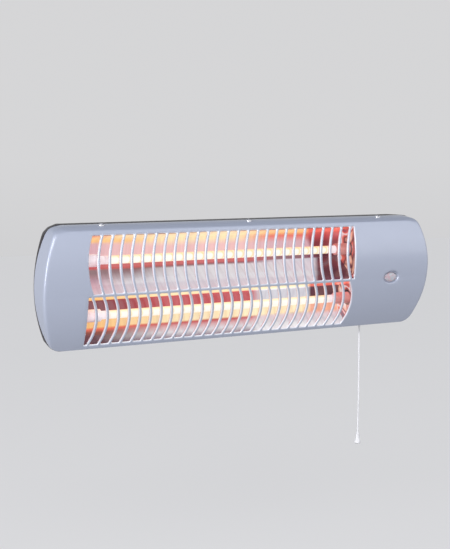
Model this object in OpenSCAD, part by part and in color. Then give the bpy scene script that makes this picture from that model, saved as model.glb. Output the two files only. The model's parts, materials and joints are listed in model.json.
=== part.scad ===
// Wall-hung electric bar heater: two quartz tubes behind an S-ribbed grille, a pull-cord switch
// and a bracket on which the body tilts.
// X runs along the heater, -Y points from the wall into the room, +Z is up.
// The origin lies on the wall, midway between the two screw holes of the wall bracket.

/* [Body] */
// Width over the rim where cover and housing meet
body_w = 539; // [525:1:560]
// Height of the body
body_h = 146; // [146:1:152]
// Radius of the bowed ends
end_r = 150; // [130:5:180]
// Radius of the four corners of the outline
corner_r = 18; // [14:1:22]
// Space between the wall and the back of the housing
wall_gap = 34; // [34:1:40]

/* [Front cover] */
// Thickness of the pressed cover
cover_wall = 1.5; // [1.2:0.1:1.8]
// Slope of the bowed side walls in degrees
cover_draft = 8.5; // [6:0.5:10]
// Depth of the cover at the top edge of its face
face_top_depth = 21; // [20:0.5:23]
// Drop from the top of the body to the top edge of the face
face_top_drop = 5.8; // [5:0.2:6.4]
// Depth of the cover at the ridge between the two rows of slots
ridge_depth = 24.6; // [23.5:0.2:26]
// Height of the ridge above the middle of the body
ridge_z = -8; // [-9:0.5:-7]
// Bulge of the upper half of the face
upper_bulge = 4.8; // [4:0.2:5.6]
// Bulge of the lower half of the face
lower_bulge = 3.8; // [3.4:0.2:4.6]
// Depth of the front edge of the screw seat band
seat_front_depth = 15; // [14:0.5:16]
// Depth of the back edge of the screw seat band
seat_back_depth = 6; // [5:0.5:7]
// Drop of the screw seat band across its depth
seat_drop = 2.2; // [1.6:0.2:2.8]
// Distance between neighbouring cover screws
cover_screw_pitch = 192; // [180:1:200]

/* [Grille] */
// Plain panel between the left-hand end of the body and the grille
left_panel_w = 57; // [55:0.5:59]
// Plain panel between the grille and the right-hand end of the body
right_panel_w = 122; // [120:0.5:124]
// Number of ribs in a row
rib_count = 26; // [24:2:28]
// Width of a rib
rib_w = 3.4; // [3:0.1:4]
// Plain strip above the slots of the upper row
top_strip_h = 5.45; // [5:0.05:8]
// Plain strip below the slots of the lower row
bottom_strip_h = 4.75; // [4:0.05:8]
// Height of the bar between the two rows
bar_h = 3.5; // [3:0.5:5]

/* [Rear housing] */
// Depth of the housing behind the rim
housing_depth = 36; // [36:1:42]
// Thickness of the housing wall
housing_wall = 2.5; // [2.3:0.1:2.8]
// Slope of the housing's end walls in degrees
housing_draft = 18; // [14:1:20]
// Chamfer along the top back edge
top_chamfer = 8; // [5:1:9]
// Chamfer along the bottom back edge
bottom_chamfer = 12; // [8:1:14]
// Thickness of the lip that enters the cover
lip_t = 1.5; // [1.2:0.1:2]
// Length of the lip that enters the cover
lip_l = 6; // [4:0.5:6]
// Number of vent slots in each row of the back wall
vent_count = 15; // [9:2:15]
// Width of a vent slot
vent_w = 4; // [3:0.5:5]
// Height of a vent slot
vent_h = 22; // [16:1:24]

/* [Heating elements] */
// Height of the upper tube above the middle of its slots
upper_tube_lift = 3.55; // [3:0.05:4.5]
// Height of the lower tube above the middle of its slots
lower_tube_lift = 6; // [5:0.1:7]
// Distance from the rim forward to the tubes
tube_depth = 6; // [4:0.5:8]
// Outer radius of a quartz tube
tube_r = 5; // [4.5:0.1:5.5]
// Wall of a quartz tube
tube_wall = 1; // [0.8:0.1:1.2]
// Distance from the side of the grille in to the end of a tube
tube_inset = 8; // [6:0.5:9]
// Distance from the end of a tube in to the end of its winding
coil_inset = 16; // [14:0.5:22]
// Outer radius of the winding
coil_r = 3.2; // [2.8:0.1:3.4]
// Radius of the winding's wire tails
tail_r = 0.6; // [0.5:0.1:0.8]
// Length of tube inside a cap
cap_grip = 11; // [9:0.5:13]
// Length of a ceramic cap
cap_l = 29.5; // [28:0.5:31]
// Outer radius of a ceramic cap
cap_r = 7.5; // [7:0.1:8]
// Radius of the cap's flange
cap_flange_r = 10; // [9.5:0.1:10.5]
// Thickness of the cap's flange
cap_flange_t = 3; // [2:0.5:4]

/* [Reflector box] */
// Thickness of the reflector sheet
reflector_t = 1; // [0.8:0.1:1.2]
// Thickness of the end plates
plate_t = 1.2; // [1:0.1:1.5]
// Distance from the side of the grille out to the end plate
plate_outset = 2.5; // [1.5:0.5:4]
// Gap between the end plates and the inside of the cover
plate_gap = 2.5; // [2:0.5:4]
// Width of the end plates' feet
foot_w = 14; // [12:1:16]
// Height of the end plates' feet
foot_h = 24; // [20:1:28]

/* [Wall bracket and tilt] */
// Width over the ears of the wall bracket
bracket_w = 260; // [240:2:280]
// Height of the strip of the wall bracket
bracket_h = 34; // [30:1:36]
// Thickness of the wall bracket
bracket_t = 2; // [1.5:0.5:2.5]
// Distance between the two wall screw holes
wall_hole_pitch = 200; // [180:5:210]
// Radius of the wall screw holes
wall_hole_r = 2.6; // [2.2:0.1:3]
// Distance from the wall to the tilt axis
pivot_gap = 19; // [18:0.5:20]
// Radius of the ears round the tilt axis
ear_r = 11; // [9:0.5:11.5]
// Radius of the studs of the tilt knobs
stud_r = 3; // [2.5:0.5:3.5]
// Radius of the tilt knobs
knob_r = 13; // [11:0.5:13.5]
// Length of the tilt knobs' heads
knob_l = 12; // [10:1:16]
// Thickness of the tilt lugs
lug_t = 2; // [1.5:0.5:2.5]

/* [Pull switch] */
// Distance from the right-hand end of the body to the switch and its cord
switch_inset = 85.5; // [84:0.5:88]
// Distance from the wall to the cord
cord_gap = 54; // [54:0.5:56]
// Width of the switch case
case_w = 32; // [30:1:34]
// Depth of the switch case
case_d = 26; // [25:1:28]
// Height of the switch case
case_h = 36; // [34:1:38]
// Wall of the switch case
case_wall = 1.5; // [1.2:0.1:1.8]
// Distance from the bottom of the body up to the switch case
case_lift = 23; // [21:1:26]
// Travel of the pull cord
pull_travel = 10; // [8:0.5:11]
// Length of the return spring at rest
spring_l = 18.5; // [18:0.5:20]
// Radius of the ratchet wheel
wheel_r = 10; // [8:0.5:11]
// Number of teeth of the ratchet wheel
wheel_teeth = 8; // [6:1:12]

/* [Pull cord] */
// Radius of the cord
cord_r = 1.1; // [0.9:0.1:1.2]
// Radius of the bore that guides the cord
bush_bore_r = 1.8; // [1.6:0.1:2]
// Length of the knob at the end of the cord
knob_h = 15; // [13:1:20]
// Largest radius of that knob
knob_end_r = 4.3; // [4:0.1:6]

/* [Indicator and wiring] */
// Distance from the right-hand end of the body to the indicator
lens_inset = 63.2; // [62:0.1:66]
// Height of the indicator above the middle of the body
lens_z = -7.2; // [-8:0.1:-6]
// Half the width of the dish round the indicator
dish_half_w = 11.6; // [11:0.1:12.5]
// Half the height of the dish round the indicator
dish_half_h = 7.8; // [7.4:0.1:8.4]
// Width of the flat ring between the dish and the lens
dish_ring = 2; // [1.6:0.1:2.2]
// Depth of the dish
dish_depth = 2.4; // [2:0.1:3]
// Distance from the right-hand end of the body to the cord inlet
inlet_inset = 44.5; // [43:0.5:48]
// Height of the cord inlet above the middle of the body
inlet_z = -22; // [-28:1:-18]
// Bore radius of the cord inlet
inlet_bore_r = 4; // [3.5:0.1:4.5]
// Radius of the internal wires
wire_r = 1.3; // [1:0.1:1.5]

/* [Hidden] */
$fn = 64;
far = 1000;
clear = 0.3; // general clearance between neighbouring pieces
run_clear = 0.06; // radial clearance of a running fit
rim_y = -(wall_gap + housing_depth); // plane where cover and housing meet
back_y = -wall_gap; // outer back face of the housing
floor_y = back_y - housing_wall; // inner back face of the housing
top_z = body_h / 2;
bottom_z = -body_h / 2;
lip_inset = cover_wall + clear; // outside of the housing's lip
lip_low_z = bottom_z + 23; // the lip ends above the slope of the lower face
housing_end_r = end_r * 4 / 3; // bow of the housing's leaning end walls
rim_land = 1.5; // straight edge of the end walls between the rim and their slope
corner_cuts = [[44, 11], [68, 7]]; // direction and slope of the faces that thin the housing's corners

// The face: two shallow arcs in the Y-Z plane that meet at the ridge.
face_top = [rim_y - face_top_depth, top_z - face_top_drop];
ridge = [rim_y - ridge_depth, ridge_z];
face_bottom = [rim_y, bottom_z];
seat_front = [rim_y - seat_front_depth, top_z - seat_drop];
seat_back = [rim_y - seat_back_depth, top_z];
seat_mid = (seat_front + seat_back) / 2;
seat_angle = atan2(seat_back[1] - seat_front[1], seat_back[0] - seat_front[0]);
screw_head_r = 3.6;
screw_head_h = 2.2;
screw_r = 1.9;
screw_l = 7;
tab_w = 16;
tab_t = 1.8;

// The grille: S-shaped ribs whose halves meet in the bar.
grille_x = (left_panel_w - right_panel_w) / 2;
grille_half = (body_w - left_panel_w - right_panel_w) / 2;
bar_top = ridge_z + bar_h / 2;
bar_bottom = ridge_z - bar_h / 2;
upper_slot_h = face_top[1] - top_strip_h - bar_top;
lower_slot_h = bar_bottom - face_bottom[1] - bottom_strip_h;
rib_pitch = 2 * grille_half / (rib_count + 2 / 3);
rib_bow = rib_pitch / 2;
slot_cut = 40; // length of the cut that opens the slots

// The reflector box behind the grille. Troughs are given by their bright side, from the top down.
tube_half = grille_half - tube_inset;
coil_half = tube_half - coil_inset;
cap_inner_half = tube_half - cap_grip; // inner ends of the caps
box_half = grille_half + plate_outset; // inner faces of the end plates
upper_tube_z = bar_top + upper_slot_h / 2 + upper_tube_lift;
lower_tube_z = bar_bottom - lower_slot_h / 2 + lower_tube_lift;
tube_y = rim_y - tube_depth;
trough_back = rim_y + 21;
upper_trough = [
    [rim_y - 18.5, bar_top + upper_slot_h + 3.6],
    [trough_back - 6, upper_tube_z + 21.7],
    [trough_back, upper_tube_z + 1.7],
    [trough_back - 3, upper_tube_z - 11.8],
    [ridge[0] + 3, bar_top - 1.2]
];
lower_trough = [
    [ridge[0] + 3, bar_bottom - 0.6],
    [trough_back - 6, lower_tube_z + 13.5],
    [trough_back, lower_tube_z - 2],
    [trough_back - 3, lower_tube_z - 18],
    [rim_y - 1, bar_bottom - lower_slot_h + 0.7]
];
plate_x = [grille_x - box_half, grille_x + box_half]; // inner faces of the end plates
foot_z = 38;
wire_hole_r = 3.4;
wire_hole_z = 5;
cutout_r = 8.5;
cutout_l = 9;
cutout_y = tube_y + 6;
cutout_z = (upper_tube_z + lower_tube_z) / 2 + 4;
cutout_tab = 4; // distance of its two tabs from its axis
terminal_l = 8;
terminal_w = 6.3;
terminal_t = 0.8;

// The tilt axis runs along X through the ears of the bracket and the lugs of the housing.
pivot_y = -pivot_gap;
ear_x = bracket_w / 2;
lug_x = ear_x + 0.4; // inner face of the lug's flange
lug_base_w = 26;
nut_af = 10;
nut_h = 5;
lug_screw_z = 9;

// The pull switch stands over the cord's exit in the bottom wall.
switch_x = body_w / 2 - switch_inset;
cord_y = -cord_gap;
case_z = bottom_z + case_lift; // underside of the case
case_floor = case_z + case_wall;
slider_z = case_floor + spring_l; // underside of the slider's block
slider_w = 8;
stem_r = 2.4;
stem_end = case_z - 2; // lower end of the slider's stem, where the cord starts
spring_r = 4;
axle_r = 1.5;
wheel_t = 5;
wheel_y = cord_y + slider_w / 2 + 0.8; // front face of the ratchet wheel
wheel_z = case_floor + case_h / 2 - 2;
case_back = cord_y + case_d / 2;
bush_r = 4;
bush_flange_r = 6;
bush_flange_t = 2;
bush_drop = 2.5;

// Route of the cord from the slider's stem to the knob, relative to the stem's end.
cord_route = [
    [0, 0, 0],
    [0, 0, -30],
    [0.2, 0, -62],
    [0.5, -0.1, -100],
    [0.4, -0.1, -138],
    [0, 0, -173]
];
cord_sides = 8;
cord_steps = 6; // rings between two points of the route

lens_x = body_w / 2 - lens_inset;
lens_front = ridge[0] + 0.4; // the cover's outer face at the indicator
inlet_x = body_w / 2 - inlet_inset;
block_inset = 40;
block_x = body_w / 2 - block_inset;
block_z = 22;
block_w = 34;
block_d = 11;
block_h = 18;
block_bore = 3; // depth of the wire bores past the block's middle
wire_y = floor_y - 4; // plane of the wires that leave the block
block_low = block_z - block_h / 2;
boss_z = case_z + case_h - 8; // height of the switch's two screws
boss_r = 4;

silver = [0.68, 0.70, 0.77];
black = [0.10, 0.10, 0.11];
steel = [0.72, 0.73, 0.75];
polished = [0.90, 0.84, 0.82];
ceramic = [0.93, 0.91, 0.88];
white = [0.93, 0.93, 0.95];
brass = [0.80, 0.66, 0.35];

// ---- helpers -------------------------------------------------------------------------------------

// Half-plane on the right-hand side of the line from p to q, drawn back by inset.
module right_of(p, q, inset = 0) {
    translate(p) rotate(atan2(q[1] - p[1], q[0] - p[0]))
        translate([-far, -far - inset]) square([2 * far, far]);
}

// Extrudes a Y-Z outline along X, from x0 to x1.
module along_x(x0, x1) {
    translate([x0, 0, 0]) rotate([90, 0, 90]) linear_extrude(x1 - x0) children();
}

// Extrudes an X-Z outline along Y, from y0 to y1.
module along_y(y0, y1) {
    translate([0, y1, 0]) rotate([90, 0, 0]) linear_extrude(y1 - y0) children();
}

// A round bar along X, from x0 to x1.
module bar_x(x0, x1, r) {
    translate([x0, 0, 0]) rotate([0, 90, 0]) cylinder(r = r, h = x1 - x0);
}

// A round bar along Y, from y0 to y1.
module bar_y(y0, y1, r) {
    translate([0, y1, 0]) rotate([90, 0, 0]) cylinder(r = r, h = y1 - y0);
}

// A wire through the points: straight stretches with round elbows.
module wire(points, r = wire_r) {
    for (i = [0:len(points) - 2]) {
        step = points[i + 1] - points[i];
        turn = atan2(norm([step[0], step[1]]), step[2]);
        translate(points[i]) rotate([0, turn, atan2(step[1], step[0])]) cylinder(r = r, h = norm(step));
        if (i > 0) translate(points[i]) sphere(r = 1.03 * r);
    }
}

// Points of an open line moved sideways by t, each corner on its bisector.
function normal(p, q) = [-(q[1] - p[1]), q[0] - p[0]] / norm(q - p);
function corner_shift(a, b) = (a + b) / (1 + a * b);
function shifted(line, t) = [
    for (i = [0:len(line) - 1])
        let (before = normal(line[max(i - 1, 0)], line[max(i, 1)]))
        let (after = normal(line[min(i, len(line) - 2)], line[min(i + 1, len(line) - 1)]))
        line[i] + t * corner_shift(before, after)
];

// A bent sheet of thickness t behind the bright side given by the line.
module bent_sheet(line, t) {
    polygon(concat(line, [for (i = [len(line) - 1:-1:0]) shifted(line, t)[i]]));
}

// ---- shell outlines ------------------------------------------------------------------------------

// Centre of an arc that bulges towards -Y between an upper point p and a lower point q.
function arc_radius(p, q, bulge) = (pow(norm(q - p), 2) / 4 + bulge * bulge) / (2 * bulge);
function arc_centre(p, q, bulge) = (p + q) / 2 + normal(p, q) * (arc_radius(p, q, bulge) - bulge);

// Side view of the cover, drawn in by inset and reaching past the rim by back.
module face_profile(inset = 0, back = 0) {
    intersection() {
        union() {
            intersection() {
                translate(arc_centre(face_top, ridge, upper_bulge))
                    circle(r = arc_radius(face_top, ridge, upper_bulge) - inset);
                translate([-far, ridge_z]) square([2 * far, far]);
            }
            intersection() {
                translate(arc_centre(ridge, face_bottom, lower_bulge))
                    circle(r = arc_radius(ridge, face_bottom, lower_bulge) - inset);
                translate([-far, ridge_z - far]) square([2 * far, far]);
            }
        }
        right_of(face_top, seat_front, inset);
        right_of(seat_front, seat_back, inset);
        translate([rim_y - far, bottom_z + inset]) square([far + back, body_h - 2 * inset]);
    }
}

// Front view of the body: everything left of the right-hand end, drawn in by inset. Its corners are
// round, or cut straight.
module end_outline(inset = 0, round_corners = true) {
    end_x = body_w / 2 - end_r;
    corner_z = top_z - corner_r;
    corner_a = asin(corner_z / (end_r - corner_r));
    corner_x = end_x + (end_r - corner_r) * cos(corner_a);
    tangent = (end_r - inset) * [cos(corner_a), sin(corner_a)] + [end_x, 0];
    edge_z = top_z - inset;
    intersection() {
        translate([end_x, 0]) circle(r = end_r - inset);
        translate([-far, -tangent[1]]) square([2 * far, 2 * tangent[1]]);
    }
    if (round_corners) {
        for (side = [-1, 1]) translate([corner_x, side * corner_z]) circle(r = corner_r - inset);
        translate([-far, -edge_z]) square([far + corner_x, 2 * edge_z]);
    } else {
        polygon([
            [-far, -edge_z], [corner_x, -edge_z], [tangent[0], -tangent[1]],
            tangent, [corner_x, edge_z], [-far, edge_z]
        ]);
    }
}

// The right-hand end of the cover, whose side wall leans inwards towards the front.
module drafted_end(inset) {
    translate([body_w / 2, rim_y, 0]) rotate([0, 0, -cover_draft]) translate([-body_w / 2, 0, 0])
        along_y(-far / 4, far / 4) end_outline(inset);
}

// Solid that fills the cover, drawn in by inset and reaching past the rim by back.
module cover_volume(inset = 0, back = 0) {
    intersection() {
        along_x(-body_w, body_w) face_profile(inset, back);
        drafted_end(inset);
        mirror([1, 0, 0]) drafted_end(inset);
    }
}

// Side view of the housing, drawn in by inset and reaching past the rim by front.
module housing_profile(inset = 0, front = 0) {
    intersection() {
        translate([rim_y - front, bottom_z + inset])
            square([housing_depth + front - inset, body_h - 2 * inset]);
        right_of([back_y - top_chamfer, top_z], [back_y, top_z - top_chamfer], inset);
        right_of([back_y, bottom_z + bottom_chamfer], [back_y - bottom_chamfer, bottom_z], inset);
    }
}

// The right-hand end of the housing, bowed and leaning inwards towards the back.
module leaning_end(inset) {
    translate([body_w / 2, rim_y + rim_land, 0]) rotate([0, 0, housing_draft]) {
        translate([-housing_end_r, 0, 0]) bar_y(-far / 4, far / 4, housing_end_r - inset);
        translate([-far, -far / 4, -far / 2]) cube([far - housing_end_r, far / 2, far]);
    }
}

// Everything beyond a sloping face that touches the round of the upper right corner at the rim.
module beyond_corner(inset, direction, slope) {
    end_x = body_w / 2 - end_r;
    corner_z = top_z - corner_r;
    corner_a = asin(corner_z / (end_r - corner_r));
    translate([end_x + (end_r - corner_r) * cos(corner_a), rim_y + rim_land, corner_z])
        rotate([0, -direction, 0]) translate([corner_r, 0, 0]) rotate([0, 0, slope])
            translate([-inset, -far / 4, -far / 4]) cube(far / 2);
}

// Solid that fills the housing, drawn in by inset and reaching past the rim by front.
module housing_volume(inset = 0, front = 0) {
    difference() {
        intersection() {
            along_x(-body_w, body_w) housing_profile(inset, front);
            along_y(-far, 0) intersection() {
                end_outline(inset, inset == 0);
                mirror([1, 0]) end_outline(inset, inset == 0);
            }
            leaning_end(inset);
            mirror([1, 0, 0]) leaning_end(inset);
        }
        for (cut = corner_cuts, right = [0, 1], low = [0, 1])
            mirror([right, 0, 0]) mirror([0, 0, low]) beyond_corner(inset, cut[0], cut[1]);
    }
}

// An oval of round arcs, half_w wide and half_h high from its middle.
module oval(half_w, half_h) {
    flat_r = half_w * 1.4;
    intersection() {
        circle(r = half_w);
        translate([0, flat_r - half_h]) circle(r = flat_r);
        translate([0, half_h - flat_r]) circle(r = flat_r);
    }
}

// ---- wall bracket and tilt -----------------------------------------------------------------------

module wall_bracket() {
    color("silver") difference() {
        union() {
            translate([-ear_x, -bracket_t, -bracket_h / 2]) cube([bracket_w, bracket_t, bracket_h]);
            for (side = [-1, 1]) {
                x0 = side > 0 ? ear_x - bracket_t : -ear_x;
                along_x(x0, x0 + bracket_t) {
                    translate([pivot_y, -ear_r]) square([pivot_gap, 2 * ear_r]);
                    translate([pivot_y, 0]) circle(r = ear_r);
                }
            }
        }
        for (side = [-1, 1])
            translate([side * wall_hole_pitch / 2, 0, 0]) bar_y(-bracket_t - 1, 1, wall_hole_r);
        translate([0, pivot_y, 0]) bar_x(-bracket_w, bracket_w, stud_r + run_clear);
    }
}

module pivot_nuts() {
    color(steel) for (side = [-1, 1]) mirror([side < 0 ? 1 : 0, 0, 0])
        translate([ear_x - bracket_t - nut_h, pivot_y, 0]) difference() {
            rotate([0, 90, 0]) cylinder(r = nut_af / 2 / cos(30), h = nut_h, $fn = 6);
            bar_x(-1, nut_h + 1, stud_r + run_clear);
        }
}

module tilt_knob(side) {
    head_x = lug_x + lug_t + clear;
    tip_x = ear_x - bracket_t - nut_h - 2;
    grip_count = 8;
    color(black) mirror([side < 0 ? 1 : 0, 0, 0]) translate([0, pivot_y, 0]) {
        difference() {
            translate([head_x, 0, 0]) bar_x(0, knob_l, knob_r);
            for (i = [0:grip_count - 1]) rotate([i * 360 / grip_count, 0, 0])
                translate([head_x + 2, knob_r + 1.6, 0]) bar_x(0, knob_l, 3);
        }
        bar_x(tip_x, head_x, stud_r);
    }
}

module tilt_knob_left() { tilt_knob(-1); }

module tilt_knob_right() { tilt_knob(1); }

// Angle piece on the back of the housing whose flange lies outside the bracket's ear.
module tilt_lug(side) {
    flange = -back_y - pivot_gap;
    color("silver") mirror([side < 0 ? 1 : 0, 0, 0]) difference() {
        union() {
            along_x(lug_x, lug_x + lug_t) {
                translate([back_y, -ear_r]) square([flange, 2 * ear_r]);
                translate([pivot_y, 0]) circle(r = ear_r);
            }
            translate([lug_x + lug_t - lug_base_w, back_y, -bracket_h / 2 + 1])
                cube([lug_base_w, lug_t, bracket_h - 2]);
        }
        translate([0, pivot_y, 0]) bar_x(0, bracket_w, stud_r + run_clear);
        for (end = [-1, 1]) translate([lug_x - lug_base_w / 2, 0, end * lug_screw_z])
            bar_y(back_y - 1, back_y + lug_t + 1, screw_r + 0.1);
    }
}

module tilt_lug_left() { tilt_lug(-1); }

module tilt_lug_right() { tilt_lug(1); }

// A pan-head screw along Y whose head stands behind the plane y = 0.
module rear_screw(length) {
    bar_y(0, screw_head_h, screw_head_r);
    bar_y(-length, 0, screw_r);
}

module lug_screws() {
    color(steel) for (side = [-1, 1], end = [-1, 1])
        translate([side * (lug_x - lug_base_w / 2), back_y + lug_t, end * lug_screw_z]) rear_screw(6);
}

// ---- shells --------------------------------------------------------------------------------------

module rear_housing() {
    color(black) difference() {
        union() {
            difference() {
                housing_volume();
                housing_volume(housing_wall, 1);
            }
            // lip that enters the cover
            intersection() {
                difference() {
                    cover_volume(lip_inset, 1);
                    cover_volume(lip_inset + lip_t, 2);
                }
                translate([-body_w, rim_y - lip_l, lip_low_z]) cube([2 * body_w, 2 * lip_l, body_h]);
            }
            screw_tabs();
            at_bosses() bar_y(case_back, floor_y + 0.5, boss_r);
        }
        screw_holes(screw_r + 0.05);
        for (row = [foot_z, 6 - foot_z], i = [0:vent_count - 1])
            translate([(i - (vent_count - 1) / 2) * vent_w * 3 - vent_w / 2, back_y - 5, row - vent_h / 2])
                cube([vent_w, 10, vent_h]);
        for (side = [-1, 1], end = [-1, 1])
            translate([side * (lug_x - lug_base_w / 2), 0, end * lug_screw_z])
                bar_y(back_y - 5, back_y + 5, screw_r + 0.05);
        at_feet() bar_y(back_y - 5, back_y + 5, screw_r + 0.05);
        at_bosses() bar_y(case_back - 1, back_y + 5, screw_r + 0.05);
        translate([inlet_x, 0, inlet_z]) bar_y(back_y - 5, back_y + 5, inlet_bore_r + 3.05);
        translate([switch_x, cord_y, bottom_z - 1]) cylinder(r = bush_r + 0.05, h = 6);
    }
}

// The two screw axes of the switch and the four of the end plates' feet.
module at_bosses() {
    for (end = [-1, 1]) translate([switch_x + end * case_w / 4, 0, boss_z]) children();
}

module at_feet() {
    for (x = foot_screw_x(), end = [-1, 1]) translate([x, 0, end * foot_z]) children();
}

// Tongues of the housing under the cover's screw seats.
module screw_tabs() {
    intersection() {
        difference() {
            cover_volume(cover_wall, lip_l);
            cover_volume(cover_wall + tab_t, lip_l + 1);
        }
        for (i = [-1:1]) translate([i * cover_screw_pitch - tab_w / 2, rim_y - seat_front_depth, top_z - 10])
            cube([tab_w, seat_front_depth + lip_l, 20]);
    }
}

// The three screw axes, square to the seat band.
module at_screws() {
    for (i = [-1:1]) translate([i * cover_screw_pitch, seat_mid[0], seat_mid[1]])
        rotate([seat_angle, 0, 0]) children();
}

module screw_holes(r) {
    at_screws() translate([0, 0, -screw_l - 2]) cylinder(r = r, h = screw_l + 6);
}

module cover_screws() {
    color(steel) at_screws() {
        translate([0, 0, -screw_l]) cylinder(r = screw_r, h = screw_l);
        cylinder(r = screw_head_r, h = screw_head_h);
    }
}

// One row of slots, height h, round its own middle. Ribs bow to the left; the right-hand side is straight.
module slot_row(h) {
    rib_r = (h * h / 4 + rib_bow * rib_bow) / (2 * rib_bow);
    for (k = [0:rib_count]) {
        left_rib = (k - 1 - (rib_count - 1) / 2) * rib_pitch;
        intersection() {
            difference() {
                translate([left_rib + rib_r, 0]) circle(r = rib_r - rib_w / 2);
                translate([left_rib + rib_pitch + rib_r, 0]) circle(r = rib_r + rib_w / 2);
            }
            translate([-2 * grille_half, -h / 2]) square([3 * grille_half, h]);
        }
    }
}

module grille_slots() {
    translate([grille_x, 0, bar_top + upper_slot_h / 2]) along_y(rim_y - slot_cut, rim_y - 1)
        slot_row(upper_slot_h);
    translate([grille_x, 0, bar_bottom - lower_slot_h / 2]) along_y(rim_y - slot_cut, rim_y - 1)
        rotate(180) slot_row(lower_slot_h);
}

module front_cover() {
    color(silver) difference() {
        union() {
            difference() {
                cover_volume();
                cover_volume(cover_wall, 1);
            }
            // collar of the dish round the indicator
            translate([lens_x, 0, lens_z]) intersection() {
                along_y(lens_front - 2, lens_front + dish_depth + cover_wall)
                    oval(dish_half_w + cover_wall, dish_half_h + cover_wall);
                translate([-lens_x, 0, -lens_z]) cover_volume(0.1);
            }
        }
        grille_slots();
        screw_holes(screw_r + 0.2);
        translate([lens_x, 0, lens_z]) {
            along_y(lens_front - 5, lens_front + dish_depth) oval(dish_half_w, dish_half_h);
            along_y(lens_front - 5, lens_front + 12)
                oval(dish_half_w - dish_ring, dish_half_h - dish_ring);
        }
    }
}

// ---- reflector box -------------------------------------------------------------------------------

module reflector_upper() {
    color(polished) along_x(plate_x[0], plate_x[1]) bent_sheet(upper_trough, reflector_t);
}

module reflector_lower() {
    color(polished) along_x(plate_x[0], plate_x[1]) bent_sheet(lower_trough, reflector_t);
}

// Screw positions of the end plates' feet, which point away from the troughs.
function foot_screw_x() = [
    plate_x[0] - plate_t - foot_w / 2,
    plate_x[1] + plate_t + foot_w / 2
];

module reflector_end(side) {
    x0 = side < 0 ? plate_x[0] - plate_t : plate_x[1];
    foot_x = side < 0 ? plate_x[0] - plate_t - foot_w : plate_x[1];
    color(polished) difference() {
        union() {
            along_x(x0, x0 + plate_t) intersection() {
                face_profile(cover_wall + plate_gap, housing_depth + 10);
                housing_profile(housing_wall, 2 * housing_depth);
            }
            for (end = [-1, 1]) translate([foot_x, floor_y - plate_t, end * foot_z - foot_h / 2])
                cube([foot_w + plate_t, plate_t, foot_h]);
        }
        for (z = [upper_tube_z, lower_tube_z]) translate([0, tube_y, z])
            bar_x(-body_w, body_w, cap_r + 0.1);
        translate([0, wire_y, wire_hole_z]) bar_x(-body_w, body_w, wire_hole_r);
        at_feet() bar_y(floor_y - 5, floor_y + 1, screw_r + 0.05);
    }
}

module reflector_end_left() { reflector_end(-1); }

module reflector_end_right() { reflector_end(1); }

module frame_screws() {
    color(steel) at_feet() translate([0, back_y, 0]) rear_screw(housing_wall + plate_t + 3);
}

module quartz_tube(z) {
    color([0.95, 0.90, 0.80, 0.5]) translate([grille_x, tube_y, z]) difference() {
        bar_x(-tube_half, tube_half, tube_r);
        bar_x(-tube_half - 1, tube_half + 1, tube_r - tube_wall);
    }
}

module quartz_tube_upper() { quartz_tube(upper_tube_z); }

module quartz_tube_lower() { quartz_tube(lower_tube_z); }

// The close winding with its two straight tails.
module heating_coil(z) {
    tail = cap_inner_half + cap_l - 1;
    color("orange") translate([grille_x, tube_y, z]) {
        bar_x(-coil_half, coil_half, coil_r);
        bar_x(-tail, tail, tail_r);
    }
}

module heating_coil_upper() { heating_coil(upper_tube_z); }

module heating_coil_lower() { heating_coil(lower_tube_z); }

// A stepped ceramic cap: cup for the tube, flange outside the end plate, small bore for the tail.
module end_cap(side, z) {
    cup = tube_half - cap_inner_half;
    flange_x = box_half + plate_t - cap_inner_half;
    color(ceramic) translate([grille_x, tube_y, z]) mirror([side < 0 ? 1 : 0, 0, 0])
        translate([cap_inner_half, 0, 0]) difference() {
            union() {
                bar_x(0, cap_l, cap_r);
                bar_x(flange_x, flange_x + cap_flange_t, cap_flange_r);
            }
            bar_x(-1, cup, tube_r + 0.05);
            bar_x(-1, cap_l + 1, tail_r + 0.2);
        }
}

module end_cap_upper_left() { end_cap(-1, upper_tube_z); }

module end_cap_upper_right() { end_cap(1, upper_tube_z); }

module end_cap_lower_left() { end_cap(-1, lower_tube_z); }

module end_cap_lower_right() { end_cap(1, lower_tube_z); }

// Runs its children at the four cap ends, with +X pointing outwards.
module at_caps() {
    for (side = [-1, 1], z = [upper_tube_z, lower_tube_z])
        translate([grille_x, tube_y, z]) mirror([side < 0 ? 1 : 0, 0, 0]) children();
}

module cap_rings() {
    ring_t = 0.8;
    color(steel) at_caps() difference() {
        bar_x(box_half - ring_t, box_half, cap_flange_r);
        bar_x(box_half - 5, box_half + 5, cap_r + 0.05);
    }
}

module tube_terminals() {
    cap_end = cap_inner_half + cap_l;
    color(brass) at_caps() {
        bar_x(cap_end - 1, cap_end + 1.2, tail_r + 0.15);
        translate([cap_end + 1, -terminal_t / 2, -terminal_w / 2])
            cube([terminal_l, terminal_t, terminal_w]);
    }
}

module thermal_cutout() {
    color("gray") translate([plate_x[1] + plate_t, cutout_y, cutout_z]) {
        bar_x(0, cutout_l, cutout_r);
        for (side = [-1, 1])
            translate([cutout_l, side * cutout_tab - terminal_t / 2, -terminal_w / 2])
                cube([terminal_l, terminal_t, terminal_w]);
    }
}

// ---- pull switch and cord ------------------------------------------------------------------------

module switch_case() {
    color(ceramic) difference() {
        translate([switch_x - case_w / 2, cord_y - case_d / 2, case_z]) difference() {
            cube([case_w, case_d, case_h]);
            translate([case_wall, case_wall, case_wall])
                cube([case_w - 2 * case_wall, case_d - 2 * case_wall, case_h - 2 * case_wall]);
        }
        translate([switch_x, cord_y, case_z - 1]) cylinder(r = stem_r + run_clear, h = case_wall + 2);
        at_bosses() bar_y(case_back - case_wall - 1, case_back + 1, screw_r + 0.05);
    }
}

module switch_screws() {
    color(steel) at_bosses() translate([0, back_y, 0]) rear_screw(back_y - case_back + case_wall + 1);
}

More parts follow.
